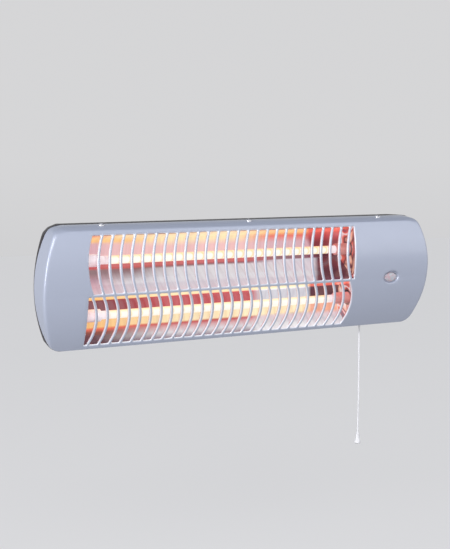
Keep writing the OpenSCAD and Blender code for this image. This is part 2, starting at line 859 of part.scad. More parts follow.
module switch_terminals() {
    color(brass) for (i = [-1:1])
        translate([switch_x + i * 9 - terminal_w / 2, cord_y - terminal_t / 2, case_z + case_h])
            cube([terminal_w, terminal_t, terminal_l]);
}

// Block that rides down inside the case, with the stem that the cord hangs from.
module switch_slider() {
    color("ivory") {
        translate([switch_x - slider_w / 2, cord_y - slider_w / 2, slider_z]) cube(slider_w);
        translate([switch_x, cord_y, stem_end]) cylinder(r = stem_r, h = slider_z - stem_end);
    }
}

module return_spring() {
    color(steel) translate([switch_x, cord_y, case_floor]) difference() {
        cylinder(r = spring_r, h = spring_l);
        translate([0, 0, -1]) cylinder(r = stem_r + 0.4, h = spring_l + 2);
    }
}

module ratchet_wheel() {
    root_r = wheel_r - 2;
    step = 360 / wheel_teeth;
    teeth = [
        for (i = [0:wheel_teeth - 1], edge = [0, 1])
            let (r = edge == 0 ? wheel_r : root_r)
            r * [cos((i + edge * 0.1) * step), sin((i + edge * 0.1) * step)]
    ];
    color("ivory") translate([switch_x, 0, wheel_z]) difference() {
        along_y(wheel_y, wheel_y + wheel_t) polygon(teeth);
        bar_y(wheel_y - 1, wheel_y + wheel_t + 1, axle_r + run_clear);
    }
}

module wheel_axle() {
    color(steel) translate([switch_x, 0, wheel_z]) bar_y(wheel_y - 0.2, case_back - case_wall, axle_r);
}

module cord_bushing() {
    color(white) translate([switch_x, cord_y, bottom_z]) difference() {
        union() {
            translate([0, 0, housing_wall]) cylinder(r = bush_flange_r, h = bush_flange_t);
            translate([0, 0, -bush_drop]) cylinder(r = bush_r, h = bush_drop + housing_wall + 0.5);
            translate([0, 0, -bush_drop]) cylinder(r = bush_flange_r - 1, h = bush_drop);
        }
        translate([0, 0, -bush_drop - 1]) cylinder(r = bush_bore_r, h = 10);
    }
}

// Smooth curve through the points of a route, with steps rings to each stretch.
function spline(a, b, c, d, t) =
    0.5 * ((2 * b) + (c - a) * t + (2 * a - 5 * b + 4 * c - d) * t * t + (3 * b - a - 3 * c + d) * t * t * t);
function smooth(route, steps) = [
    for (i = [0:len(route) - 2], k = [0:steps - 1])
        spline(route[max(i - 1, 0)], route[i], route[i + 1], route[min(i + 2, len(route) - 1)], k / steps),
    route[len(route) - 1]
];
function unit(v) = v / norm(v);
function ring(centre, along, r, sides) =
    let (u = unit(cross(along, [1, 0, 0])), v = cross(unit(along), u))
    [for (i = [0:sides - 1]) centre + r * (cos(i * 360 / sides) * u + sin(i * 360 / sides) * v)];

// A closed round tube along the line of points.
module tube(line, r, sides) {
    last = len(line) - 1;
    points = [
        for (i = [0:last])
            each ring(line[i], line[min(i + 1, last)] - line[max(i - 1, 0)], r, sides)
    ];
    walls = [
        for (i = [0:last - 1], k = [0:sides - 1])
            let (a = i * sides + k, b = i * sides + (k + 1) % sides)
            each [[a, a + sides, b], [b, a + sides, b + sides]]
    ];
    first_cap = [for (k = [1:sides - 2]) [0, k, k + 1]];
    last_cap = [for (k = [1:sides - 2]) [last * sides, last * sides + k + 1, last * sides + k]];
    polyhedron(points = points, faces = concat(walls, first_cap, last_cap));
}

module pull_cord() {
    start = [switch_x, cord_y, stem_end];
    color(white) tube([for (p = smooth(cord_route, cord_steps)) start + p], cord_r, cord_sides);
}

// Bell-shaped knob that hangs on the end of the cord.
module pull_knob() {
    neck_r = cord_r + 1.1;
    foot = 2;
    bell_r = (pow(knob_end_r - neck_r, 2) + pow(knob_h - foot, 2)) / (2 * (knob_end_r - neck_r));
    color(white) translate([switch_x, cord_y, stem_end] + cord_route[len(cord_route) - 1])
        translate([0, 0, -knob_h]) rotate_extrude() {
            intersection() {
                translate([knob_end_r - bell_r, foot]) circle(r = bell_r, $fn = 200);
                translate([0, foot]) square([knob_end_r, knob_h - foot]);
            }
            intersection() {
                translate([knob_end_r - foot, foot]) circle(r = foot);
                square([knob_end_r, foot]);
            }
            square([knob_end_r - foot, foot]);
        }
}

// ---- indicator, wiring, inlet --------------------------------------------------------------------

module indicator_lens() {
    half_w = dish_half_w - dish_ring - 0.1;
    half_h = dish_half_h - dish_ring - 0.1;
    flange_y = lens_front + dish_depth + cover_wall;
    color([0.90, 0.86, 0.92, 0.6]) translate([lens_x, 0, lens_z]) {
        along_y(flange_y - 2.6, flange_y) oval(half_w, half_h);
        along_y(flange_y, flange_y + 1.2) oval(half_w + 1.4, half_h + 1.4);
    }
}

module lamp_holder() {
    front = lens_front + dish_depth + cover_wall + 1.2;
    color("ivory") translate([lens_x, 0, lens_z]) difference() {
        bar_y(front, front + 14, 4.6);
        bar_y(front - 1, front + 12.5, 3.1);
    }
}

module neon_lamp() {
    front = lens_front + dish_depth + cover_wall + 1.2;
    color([1, 0.6, 0.4]) translate([lens_x, 0, lens_z]) {
        bar_y(front + 4, front + 12.5, 2.9);
        translate([0, front + 4, 0]) sphere(r = 2.9);
    }
}

module terminal_block() {
    color("ivory") translate([block_x - block_w / 2, floor_y - block_d, block_low]) difference() {
        cube([block_w, block_d, block_h]);
        for (i = [0:2]) translate([block_w * (i + 0.5) / 3, 0, block_h / 2]) bar_y(-1, 4, 2.6);
        for (i = [0:2]) translate([block_w * (i + 0.5) / 3, block_d + wire_y - floor_y, -1])
            cylinder(r = wire_r + 0.1, h = block_bore + 1);
    }
}

module terminal_screws() {
    color(brass) for (i = [0:2])
        translate([block_x - block_w / 2 + block_w * (i + 0.5) / 3, floor_y - block_d, block_z])
            bar_y(0.8, 4, 2.4);
}

module cable_gland() {
    inlet_r = inlet_bore_r + 3;
    color(black) translate([inlet_x, 0, inlet_z]) difference() {
        union() {
            bar_y(floor_y - 3, floor_y, inlet_r + 2);
            bar_y(floor_y - 1, back_y + 1, inlet_r);
            bar_y(back_y, back_y + 3, inlet_r + 2);
            bar_y(back_y + 2, back_y + 12, inlet_r - 0.5);
        }
        bar_y(floor_y - 5, back_y + 15, inlet_bore_r);
    }
}

// Where the wires end: bores of the block, tabs of the caps, the cutout and the switch.
function block_end(i) = [block_x + (i - 1) * block_w / 3, wire_y, block_low + block_bore];
function cap_end(side, z) = [grille_x + side * (cap_inner_half + cap_l + 1 + terminal_l), tube_y, z];
function cutout_end(side) = [
    plate_x[1] + plate_t + cutout_l + terminal_l,
    cutout_y + side * cutout_tab,
    cutout_z
];
function switch_end(i) = [switch_x + i * 9, cord_y, case_z + case_h + terminal_l];

module wire_live() {
    from = cutout_end(-1);
    to = block_end(2);
    color("brown") wire([from, [to[0], from[1], from[2]], [to[0], to[1], from[2]], to]);
}

module wire_switch() {
    from = cutout_end(1);
    to = switch_end(1);
    color("brown") wire([from, [to[0], from[1], from[2]], [to[0], to[1], from[2]], to]);
}

module wire_upper() {
    from = cap_end(1, upper_tube_z);
    to = switch_end(-1);
    color("red") wire([from, [to[0], from[1], from[2]], [to[0], to[1], from[2]], to]);
}

module wire_lower() {
    from = cap_end(1, lower_tube_z);
    to = switch_end(0);
    elbow = from[0] + 4;
    over = to[2] + 1.8;
    color("darkred") wire([
        from,
        [elbow, from[1], from[2]],
        [elbow, from[1], over],
        [to[0], from[1], over],
        [to[0], to[1], over],
        to
    ]);
}

module wire_neutral() {
    from = block_end(1);
    to = cap_end(-1, wire_hole_z) - [6, -wire_r, 0];
    color("blue") wire([from, [from[0], from[1], to[2]], [to[0], from[1], to[2]], to]);
}

module wire_link() {
    upper = cap_end(-1, upper_tube_z);
    lower = cap_end(-1, lower_tube_z);
    color("blue") wire([upper, upper - [6, 0, 0], lower - [6, 0, 0], lower]);
}

// Runs to the tip of the foot screw of the right-hand end plate.
module wire_earth() {
    from = block_end(0);
    low = wire_hole_z + 4;
    to = [foot_screw_x()[1], from[1], foot_z - screw_r];
    color("green") wire([from, [from[0], from[1], low], [to[0], from[1], low], to]);
}

wall_bracket();
pivot_nuts();
tilt_knob_left();
tilt_knob_right();
tilt_lug_left();
tilt_lug_right();
lug_screws();
rear_housing();
front_cover();
cover_screws();
reflector_upper();
reflector_lower();
reflector_end_left();
reflector_end_right();
frame_screws();
quartz_tube_upper();
quartz_tube_lower();
heating_coil_upper();
heating_coil_lower();
end_cap_upper_left();
end_cap_upper_right();
end_cap_lower_left();
end_cap_lower_right();
cap_rings();
tube_terminals();
thermal_cutout();
switch_case();
switch_screws();
switch_terminals();
switch_slider();
return_spring();
ratchet_wheel();
wheel_axle();
cord_bushing();
pull_cord();
pull_knob();
indicator_lens();
neon_lamp();
lamp_holder();
terminal_block();
terminal_screws();
cable_gland();
wire_live();
wire_switch();
wire_upper();
wire_lower();
wire_neutral();
wire_link();
wire_earth();
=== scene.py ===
"""Looks of a wall-hung electric bar heater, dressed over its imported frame."""
import json
import math

import bmesh
import bpy
import numpy as np
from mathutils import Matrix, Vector


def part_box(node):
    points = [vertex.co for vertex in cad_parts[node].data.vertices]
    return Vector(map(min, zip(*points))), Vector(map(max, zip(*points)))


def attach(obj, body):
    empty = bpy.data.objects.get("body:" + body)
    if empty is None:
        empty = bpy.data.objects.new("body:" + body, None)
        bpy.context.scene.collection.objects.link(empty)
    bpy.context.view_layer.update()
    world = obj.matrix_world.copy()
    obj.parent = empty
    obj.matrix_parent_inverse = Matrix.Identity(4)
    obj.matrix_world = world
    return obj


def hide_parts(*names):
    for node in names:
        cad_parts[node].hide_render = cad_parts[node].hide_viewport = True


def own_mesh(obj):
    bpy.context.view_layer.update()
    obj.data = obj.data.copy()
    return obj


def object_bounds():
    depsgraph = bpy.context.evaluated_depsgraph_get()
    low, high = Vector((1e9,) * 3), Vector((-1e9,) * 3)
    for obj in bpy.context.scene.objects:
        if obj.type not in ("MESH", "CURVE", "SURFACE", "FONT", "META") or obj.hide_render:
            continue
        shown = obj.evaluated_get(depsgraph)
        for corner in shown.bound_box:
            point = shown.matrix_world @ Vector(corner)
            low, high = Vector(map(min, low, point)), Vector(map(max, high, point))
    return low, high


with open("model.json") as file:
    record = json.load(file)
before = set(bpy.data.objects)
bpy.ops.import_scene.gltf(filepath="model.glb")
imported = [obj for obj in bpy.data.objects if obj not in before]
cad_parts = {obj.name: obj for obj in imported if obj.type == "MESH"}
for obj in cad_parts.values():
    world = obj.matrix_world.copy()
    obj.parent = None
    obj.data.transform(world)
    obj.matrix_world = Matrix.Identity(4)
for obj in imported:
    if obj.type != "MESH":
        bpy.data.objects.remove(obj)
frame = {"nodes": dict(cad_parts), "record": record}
cad_nodes = frame["nodes"]
cad_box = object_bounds()
MM = 0.001


def mm(values):
    """A point in millimetres as a vector in metres."""
    return Vector(values) * MM


def node_box(node):
    """Lowest and highest corner of a CAD node, in millimetres."""
    low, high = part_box(node)
    return Vector(low) / MM, Vector(high) / MM


def polar(radius, angle):
    return radius * math.cos(angle), radius * math.sin(angle)


def set_up(name, data, spot, towards):
    """Puts a camera or a lamp in a spot and turns it."""
    item = bpy.data.objects.new(name, data)
    bpy.context.scene.collection.objects.link(item)
    item.location = spot
    item.rotation_euler = Vector(towards).to_track_quat("-Z", "Y").to_euler()
    return item


# ---- camera ----

PHOTO_HEIGHT_PX = 549
FOCAL_PX = 1000
SENSOR_MM = 36
CAMERA_PLACE = (-0.5785, -1.1715, 0.1466)
CAMERA_AIM = (0.4444, 0.8886, -0.1137)

camera = bpy.data.cameras.new("camera")
camera.sensor_fit = "VERTICAL"
camera.sensor_height = SENSOR_MM
camera.lens = FOCAL_PX / PHOTO_HEIGHT_PX * SENSOR_MM
camera.clip_start = 0.01
bpy.context.scene.camera = set_up("camera", camera, CAMERA_PLACE, CAMERA_AIM)

# ---- sizes, in millimetres ----

cover_high = node_box("front_cover")[1]
BACK_Y = node_box("rear_housing")[1].y
RIM_Y = BACK_Y - 36  # plane where cover and housing meet
BODY_HALF = cover_high.x
TOP_Z = cover_high.z
END_R = 150
CORNER_R = 18
DRAFT = math.radians(8.5)
COVER_WALL = 1.2
FACE_TOP = (RIM_Y - 21, TOP_Z - 5.8)
RIDGE = (RIM_Y - 24.6, -8)
FACE_BOTTOM = (RIM_Y, -TOP_Z)
SEAT_FRONT = (RIM_Y - 15, TOP_Z - 2.2)
SEAT_BACK = (RIM_Y - 6, TOP_Z)
UPPER_BULGE = 4.8
LOWER_BULGE = 3.8
CORNER_Z = TOP_Z - CORNER_R
CORNER_ANGLE = math.asin(CORNER_Z / (END_R - CORNER_R))
CORNER_X = BODY_HALF - END_R + (END_R - CORNER_R) * math.cos(CORNER_ANGLE)
SIDES = {"left": -1, "right": 1}

GRILLE_X = -32.5
PITCH = 13.5
RIBS = 26
RIB_W = 3.4
BAR_HALF = 1.75
SLOT_ROUND = 1.4  # corner radius of a slot
SLOTS_TOP = 61.75
SLOTS_BOTTOM = -68.25
FRAME_W = 1.75  # drawn edge round the slots
FIRST_JOINT_X = -208.0  # leftmost place where a rib meets the bar
GRILLE_RIGHT = GRILLE_X + 180
GRILLE_LEFT = GRILLE_X - 180

TUBE_Y = RIM_Y - 6
TUBE_Z = {"upper": 31.3, "lower": -33}
LENS = (206.3, -7.2)
DISH = (11.6, 7.8)

CORD_R = 1.1
CORD_START = (184, -54, -52)
CORD_ROUTE = [(0, 0, 0), (0, 0, -30), (0.2, 0, -62), (0.5, -0.1, -100), (0.4, -0.1, -138), (0, 0, -173)]
CORD_SIDES = 24
BRAID_PITCH = 7
STRANDS = 6  # that wind either way

# ---- materials ----


def fill_ramp(ramp, stops):
    """Sets the stops of a colour ramp, each a position and a colour."""
    marks = ramp.color_ramp.elements
    while len(marks) < len(stops):
        marks.new(0.5)
    for mark, (position, colour) in zip(marks, stops):
        mark.position = position
        mark.color = (*colour, 1)


class Finish:
    """A procedural material whose pattern lies in the object's own coordinates."""

    def __init__(self, name, base, rough=0.5, metal=0.0, **constants):
        self.material = bpy.data.materials.new(name)
        self.material.use_nodes = True
        self.tree = self.material.node_tree
        self.shader = self.tree.nodes["Principled BSDF"].inputs
        self.base = base
        self.rough = rough
        self.feed(self.shader["Base Color"], base)
        for socket, value in {"Roughness": rough, "Metallic": metal, **constants}.items():
            self.shader[socket.replace("_", " ")].default_value = value
        self.place = self.add("ShaderNodeTexCoord").outputs["Object"]
        self.bumps = None

    def feed(self, socket, value):
        """Gives a socket a number, a colour or what comes out of another node."""
        if isinstance(value, bpy.types.NodeSocket):
            self.tree.links.new(value, socket)
        else:
            socket.default_value = (*value, 1) if socket.type == "RGBA" else value

    def add(self, kind, values=(), **settings):
        """A node with these settings, and values for its sockets by title or number."""
        node = self.tree.nodes.new(kind)
        for name, value in settings.items():
            setattr(node, name, value)
        for title, value in dict(values).items():
            self.feed(node.inputs[title], value)
        return node

    def noise(self, scale, detail=3.0, stretch=(1, 1, 1), distortion=0.0):
        """Noise of so many spots a metre, drawn out along the axes by stretch."""
        mapping = self.add("ShaderNodeMapping", {"Scale": stretch, "Vector": self.place})
        noise = self.add("ShaderNodeTexNoise", {"Scale": scale, "Detail": detail, "Distortion": distortion})
        self.feed(noise.inputs["Vector"], mapping.outputs["Vector"])
        return noise.outputs["Fac"]

    def ramp(self, factor, stops):
        """Colours by a factor."""
        ramp = self.add("ShaderNodeValToRGB", {"Fac": factor})
        fill_ramp(ramp, stops)
        return ramp.outputs["Color"]

    def span(self, value, low, high, to_low=0.0, to_high=1.0):
        """Maps low..high to to_low..to_high, held at the ends."""
        values = {"Value": value, "From Min": low, "From Max": high, "To Min": to_low, "To Max": to_high}
        return self.add("ShaderNodeMapRange", values).outputs["Result"]

    def maths(self, operation, *values):
        return self.add("ShaderNodeMath", enumerate(values), operation=operation).outputs[0]

    def mix(self, factor, first, second, kind="MIX"):
        values = {0: factor, 6: first, 7: second}
        return self.add("ShaderNodeMix", values, data_type="RGBA", blend_type=kind).outputs[2]

    def axis(self, letter):
        return self.add("ShaderNodeSeparateXYZ", {"Vector": self.place}).outputs[letter]

    def mark(self, name):
        """A number that the mesh carries under this name."""
        return self.add("ShaderNodeAttribute", attribute_name=name).outputs["Fac"]

    def mottle(self, scale, amount):
        """Makes the base colour lighter and darker in soft spots."""
        dark = tuple(c * (1 - amount) for c in self.base)
        light = tuple(min(1, c * (1 + amount)) for c in self.base)
        colour = self.ramp(self.noise(scale), [(0.3, dark), (0.7, light)])
        self.feed(self.shader["Base Color"], colour)
        return colour

    def wear(self, scale, amount, stretch=(1, 1, 1)):
        """Makes the roughness wander round its value."""
        low, high = self.rough - amount, self.rough + amount
        self.feed(self.shader["Roughness"], self.span(self.noise(scale, 4.0, stretch), 0.3, 0.7, low, high))

    def grain(self, height, depth, strength=1.0):
        """Raises the surface by a pattern, depth metres at most, on top of earlier grain."""
        bump = self.add("ShaderNodeBump", {"Strength": strength, "Distance": depth, "Height": height})
        if self.bumps is not None:
            self.feed(bump.inputs["Normal"], self.bumps)
        self.bumps = bump.outputs["Normal"]
        self.feed(self.shader["Normal"], self.bumps)

    def textured(self, mottle, wear, noise, depth, strength=0.5):
        """The material with mottle, wear and grain, given as those take them."""
        self.mottle(*mottle)
        if wear:
            self.wear(*wear)
        self.grain(self.noise(*noise), depth, strength)
        return self.material

    def glow(self, colour, strength):
        """The surface shines in this colour over its own dim base."""
        self.feed(self.shader["Emission Color"], colour)
        self.shader["Emission Strength"].default_value = strength

    def paint_reflection_inside(self, colour, strength):
        """Paints the tubes' reflections and glow as emission on the side marked as lit; the rest stays dark.
        """
        self.glow(self.mix(1.0, colour, self.mark("lit"), "MULTIPLY"), strength)


def srgb(red, green, blue):
    """A colour as a picture shows it, made linear."""
    return tuple((c / 255) ** 2.2 for c in (red, green, blue))


# Painted highlight: paler paint on the rounded edges of the slots, standing in for the gleam they catch.
PAINTED_EDGE_HIGHLIGHT = srgb(236, 239, 247)
PAINTED_FLANGE_GLOW = srgb(196, 120, 124)  # painted reflected glow: reddish colour that the turned-in sides of the ribs show from the glowing troughs


def cover_paint():
    paint = Finish("cover_paint", srgb(170, 177, 196), 0.42, 0.25, Coat_Weight=0.75, Coat_Roughness=0.16)
    flakes = paint.mottle(9000, 0.05)
    # The edge mark runs from the flat face over the slots' rounds into the turned-in flanges: the rounds get
    # the painted highlight, the flanges the painted glow.
    rim = paint.mark("edge")
    outside = paint.mix(paint.span(rim, 0.05, 0.7), flakes, PAINTED_EDGE_HIGHLIGHT)
    paint.feed(paint.shader["Base Color"], paint.mix(paint.span(rim, 1.25, 1.5), outside, PAINTED_FLANGE_GLOW))
    paint.wear(45, 0.03)
    paint.grain(paint.noise(5200, 2.0), 0.00002, 0.25)
    paint.grain(paint.noise(60, 2.0), 0.0006, 0.05)
    return paint.material


def moulded(name, shown, rough, pebble=1800, depth=0.00005, **constants):
    plastic = Finish(name, srgb(*shown), rough, **constants)
    return plastic.textured((140, 0.08), (90, 0.05), (pebble, 2.0), depth)


def plated(name, shown, rough, along=(1, 1, 1)):
    metal = Finish(name, srgb(*shown), rough, 1.0)
    return metal.textured((260, 0.07), (150, 0.06), (900, 3.0, along), 0.00003, 0.3)


TONES = {
    "straw": srgb(255, 230, 180), "amber": srgb(255, 198, 126), "coral": srgb(240, 112, 94),
    "rose": srgb(240, 188, 188), "mauve": srgb(214, 168, 178), "ember": srgb(196, 76, 82),
    "rust": srgb(128, 56, 64), "wine": srgb(82, 46, 58), "plum": srgb(122, 72, 90),
    "dusk": srgb(128, 108, 124), "silver": srgb(212, 212, 220), "blush": srgb(230, 206, 212),
    "mist": srgb(240, 240, 244), "peach": srgb(250, 178, 148),
}


def toned(text):
    """Stops of a ramp from a text of positions and tones."""
    return [(float(at), TONES[tone]) for at, tone in (stop.split() for stop in text.split(", "))]


# Painted reflections and glow of the tubes on each trough, zone by zone from its left end: the two places
# between which a zone's colours take over from the last one's, and its bands as height and tone. The dark
# bands at the top of the upper trough are painted shadow under the cover.
ZONES = {
    "reflector_upper": (
        (None, "-9 blush, 0 mauve, 14 dusk, 17 dusk, 19 ember, 24 ember, 30 rose, 38 mauve, 48 mauve, "
               "51 amber, 55 amber, 58.6 coral, 59.8 wine, 66 wine"),
        ((-200, -150), "-9 blush, 4 silver, 14 dusk, 17 plum, 19 ember, 24 ember, 30 rose, 40 rose, "
                       "46 rose, 51 amber, 58.6 straw, 59.8 plum, 66 plum"),
        ((-150, -96), "-9 blush, 4 silver, 16 silver, 18 plum, 20 ember, 24 ember, 30 rose, 42 rose, "
                      "50 straw, 58.6 straw, 59.8 plum, 66 plum"),
        ((0, 50), "-9 blush, 4 silver, 18.5 silver, 20 plum, 24 plum, 30 mauve, 42 mauve, 50 coral, "
                  "55 amber, 58.6 amber, 59.8 plum, 66 plum"),
        ((101, 108), "-9 plum, -2 wine, 24 wine, 30 rust, 40 rust, 48 ember, 56 coral, 58.6 coral, "
                     "59.8 wine, 66 wine"),
    ),
    "reflector_lower": (
        (None, "-68 wine, -60 wine, -56 rust, -53 coral, -51 amber, -39 amber, -36 rust, -18 rust, "
               "-16 amber, -9 amber"),
        ((-190, -110), "-68 dusk, -62 silver, -57 mauve, -53 ember, -51 straw, -39 straw, -36 ember, "
                       "-18 ember, -16 straw, -9 straw"),
        ((8, 22), "-68 mist, -60 silver, -54 blush, -51 straw, -39 straw, -36 silver, -18 silver, "
                  "-16 straw, -9 straw"),
        ((92, 97), "-68 mist, -60 silver, -55 blush, -51 peach, -39 peach, -36 wine, -18 wine, -16 coral, "
                   "-9 coral"),
    ),
}
# The zones' borders run slanted through a trough's depth and hold their given places at ZONE_Y.
# Above the tube they lean to the left.
ZONE_SLANT = -0.61
ZONE_Y = -70
LEAN_FROM, LEAN_TO, LEAN = 20, 45, 14
# Strength of the painted reflections and glow on the troughs.
TROUGH_GLOW = 0.92
RIPPLE = 1.0  # how far the painted reflected bands wander


def reflector_sheet(name):
    """Bright aluminium with painted reflections and glow of the tubes in bands along it, painted darker
    towards its ends.
    """
    sheet = Finish("polished_" + name, (0.13, 0.12, 0.12), 0.16, 0.9)
    height = sheet.axis("Z")
    rippled = sheet.maths("MULTIPLY_ADD", sheet.noise(26, 2.0, (0.5, 1, 0.4)), 2 * RIPPLE * MM, height)
    slanted = sheet.maths("MULTIPLY_ADD", sheet.axis("Y"), ZONE_SLANT, sheet.axis("X"))
    along = sheet.maths("ADD", slanted, sheet.span(height, LEAN_FROM * MM, LEAN_TO * MM, 0, LEAN * MM))
    shift = ZONE_SLANT * ZONE_Y
    for border, text in ZONES[name]:
        bands = toned(text)
        low, high = bands[0][0], bands[-1][0]
        level = sheet.span(rippled, (low + RIPPLE) * MM, (high + RIPPLE) * MM)
        zone = sheet.ramp(level, [((z - low) / (high - low), tone) for z, tone in bands])
        if border:
            reached = sheet.span(along, (border[0] + shift) * MM, (border[1] + shift) * MM)
            zone = sheet.mix(reached, colour, zone)
        colour = zone
    streaks = sheet.noise(240, 3.0, (1, 0.08, 0.05))
    shade = sheet.ramp(streaks, [(0.32, (0.87, 0.84, 0.86)), (0.6, (1, 1, 1))])
    sheet.paint_reflection_inside(sheet.mix(1.0, colour, shade, "MULTIPLY"), TROUGH_GLOW)
    sheet.wear(70, 0.04, (0.15, 1, 1))
    sheet.grain(sheet.noise(300, 3.0, (0.05, 1, 1)), 0.00005, 0.2)
    return sheet.material


def end_plate():
    """Bright end plate with painted reflections of the glowing tubes in crumpled loops."""
    plate = Finish("plate_sheet", (0.3, 0.27, 0.28), 0.2, 0.9)
    folds = plate.noise(17, 1.5, distortion=2.4)
    loops = "0.3 wine, 0.38 plum, 0.44 coral, 0.48 mist, 0.52 coral, 0.57 wine, 0.62 peach, 0.68 mist"
    plate.paint_reflection_inside(plate.ramp(folds, toned(loops)), 0.75)
    plate.wear(150, 0.05)
    plate.grain(folds, 0.0008, 0.3)
    return plate.material


HOT_HALF = 149  # half length of the glowing stretch of a tube
# The crescents are painted reflections of the ribs in the glass.
CRESCENT_SHIFT = 0.17  # share of a pitch by which the crescents lie left of the ribs' places
CRESCENT_BOW = 0.08
CRESCENT_GLOW = 0.7
QUARTZ_R = 5


def hot_quartz(row):
    """Quartz over a white-hot winding, yellower towards its top, with a painted reflection of each rib as a
    yellow crescent and a painted pale glow on its cold ends.
    """
    quartz = Finish("hot_quartz_" + row, (0.3, 0.28, 0.26), 0.15)
    x = quartz.axis("X")
    height = quartz.maths("SUBTRACT", quartz.axis("Z"), TUBE_Z[row] * MM)
    bowed = quartz.maths("MULTIPLY_ADD", quartz.maths("MULTIPLY", height, height), CRESCENT_BOW / MM, x)
    from_rib = quartz.maths("SUBTRACT", bowed, (GRILLE_X - (RIBS + CRESCENT_SHIFT) * PITCH) * MM)
    wave = quartz.maths("PINGPONG", from_rib, PITCH / 2 * MM)
    hot = quartz.ramp(quartz.span(height, -QUARTZ_R * MM, QUARTZ_R * MM), [
        (0.0, srgb(255, 240, 214)), (0.25, srgb(255, 252, 240)), (0.7, srgb(255, 252, 236)),
        (0.86, srgb(255, 240, 202)), (1.0, srgb(255, 216, 160)),
    ])
    painted_rib_reflection = quartz.span(wave, 0.6 * MM, 2.0 * MM, CRESCENT_GLOW, 0)
    hot = quartz.mix(painted_rib_reflection, hot, srgb(255, 214, 128))
    from_middle = quartz.maths("ABSOLUTE", quartz.maths("SUBTRACT", x, GRILLE_X * MM))
    # The cold ends get a painted pale pink glow.
    cold = quartz.span(from_middle, (HOT_HALF - 2) * MM, (HOT_HALF + 4) * MM)
    turns = quartz.noise(150, 1.0, (1, 0.1, 0.1))
    pale = quartz.ramp(turns, [(0.35, srgb(214, 168, 176)), (0.6, srgb(240, 228, 234))])
    quartz.glow(quartz.mix(cold, hot, pale), 0.85)
    return quartz.textured((80, 0.1), None, (220, 2.0, (0.1, 1, 1)), 0.00005, 0.2)


def lit_ceramic(name, shown, strength):
    """Glazed ceramic with a painted glow from the tubes in rose patches."""
    ceramic = Finish(name, srgb(*shown), 0.35, Coat_Weight=0.3)
    painted_glow_tones = [(0.35, TONES["rose"]), (0.65, ceramic.base)]
    ceramic.glow(ceramic.ramp(ceramic.noise(60, 2.0), painted_glow_tones), strength)
    return ceramic.textured((140, 0.08), (90, 0.05), (700, 2.0), 0.00004)


def hot_wire():
    wire = Finish("hot_wire", srgb(255, 190, 120), 0.5, 0.2)
    shades = [(0.35, srgb(255, 200, 110)), (0.65, srgb(255, 232, 170))]
    wire.glow(wire.ramp(wire.noise(160, 2.0), shades), 1.3)
    wire.mottle(400, 0.05)
    return wire.material


def braid():
    cord = Finish("cord_white", srgb(242, 242, 246), 0.75, Sheen_Weight=0.3, Sheen_Roughness=0.5)
    return cord.textured((1500, 0.06), None, (3000, 2.0, (1, 1, 0.3)), 0.0001, 0.4)


def lens_plastic():
    lens = Finish("lens_plastic", srgb(222, 214, 226), 0.22, Transmission_Weight=0.35, Coat_Weight=0.4)
    tint = lens.ramp(lens.noise(240, 1.0), [(0.35, srgb(232, 196, 206)), (0.65, srgb(214, 222, 232))])
    lens.feed(lens.shader["Base Color"], tint)
    lens.grain(lens.noise(380, 1.0), 0.0004, 0.3)
    return lens.material


MATERIALS = {
    "cover_paint": cover_paint(),
    "plate_sheet": end_plate(),
    "hot_wire": hot_wire(),
    "ceramic": lit_ceramic("ceramic", (236, 234, 240), 0.35),
    "cord_white": braid(),
    "lens_plastic": lens_plastic(),
    "white_plastic": moulded("white_plastic", (232, 232, 236), 0.25, 900, 0.00003, Coat_Weight=0.3),
    "neon_glass": moulded("neon_glass", (250, 205, 180), 0.1, 400, 0.00002, Transmission_Weight=0.8),
}
for name, *look in (
    ("housing_plastic", (40, 35, 39), 0.5, 1500, 0.00008),
    ("black_plastic", (46, 46, 48), 0.42, 1600, 0.00006),
    ("ivory_plastic", (226, 220, 198), 0.45),
    ("wire_brown", (112, 66, 42), 0.5),
    ("wire_red", (170, 40, 34), 0.5),
    ("wire_blue", (50, 90, 170), 0.5),
    ("wire_green", (96, 150, 60), 0.5),
):
    MATERIALS[name] = moulded(name, *look)
for name, *look in (
    ("zinc_plate", (206, 208, 212), 0.34, (0.2, 1, 1)),
    ("screw_steel", (232, 232, 236), 0.38),
    ("spring_steel", (160, 160, 165), 0.3),
    ("brass", (214, 190, 130), 0.28),
    ("cutout_case", (190, 190, 194), 0.35),
):
    MATERIALS[name] = plated(name, *look)
# Some nodes have a look of their own.
# The right-hand caps are painted reddish, as lit by the tubes' red glow, with a painted glow on top.
glow_tinted_ceramic = lit_ceramic("ceramic_red_glow", (206, 128, 120), 0.25)
for row in TUBE_Z:
    MATERIALS["quartz_tube_" + row] = hot_quartz(row)
    MATERIALS[f"end_cap_{row}_right"] = glow_tinted_ceramic
for reflector in ZONES:
    MATERIALS[reflector] = reflector_sheet(reflector)
NODE_SLOT = {part["node"]: part["material_slot"] for part in frame["record"]["subparts"]}
NODE_BODY = {node: body for body, nodes in frame["record"]["behaviour"]["bodies"].items() for node in nodes}

# ---- making pieces ----


def piece_object(name, mesh, material):
    piece = bpy.data.objects.new(name, mesh)
    bpy.context.scene.collection.objects.link(piece)
    mesh.materials.clear()
    mesh.materials.append(material)
    return piece


def mesh_from(work, name):
    mesh = bpy.data.meshes.new(name)
    work.to_mesh(mesh)
    work.free()
    return mesh


def weld(work, apart):
    bmesh.ops.remove_doubles(work, verts=work.verts, dist=apart)


def take_mesh(work, piece):
    """Adds a piece's mesh to the work and removes the piece."""
    work.from_mesh(piece.data)
    bpy.data.objects.remove(piece)


def smooth(mesh, sharp_deg=35):
    for face in mesh.polygons:
        face.use_smooth = True
    mesh.set_sharp_from_angle(angle=math.radians(sharp_deg))


def look_of(node):
    return MATERIALS.get(node) or MATERIALS[NODE_SLOT[node]]


def place(piece, node):
    """The piece stands for this CAD node, which it hides, and rides on its body."""
    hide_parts(node)
    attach(piece, NODE_BODY[node])
    return piece


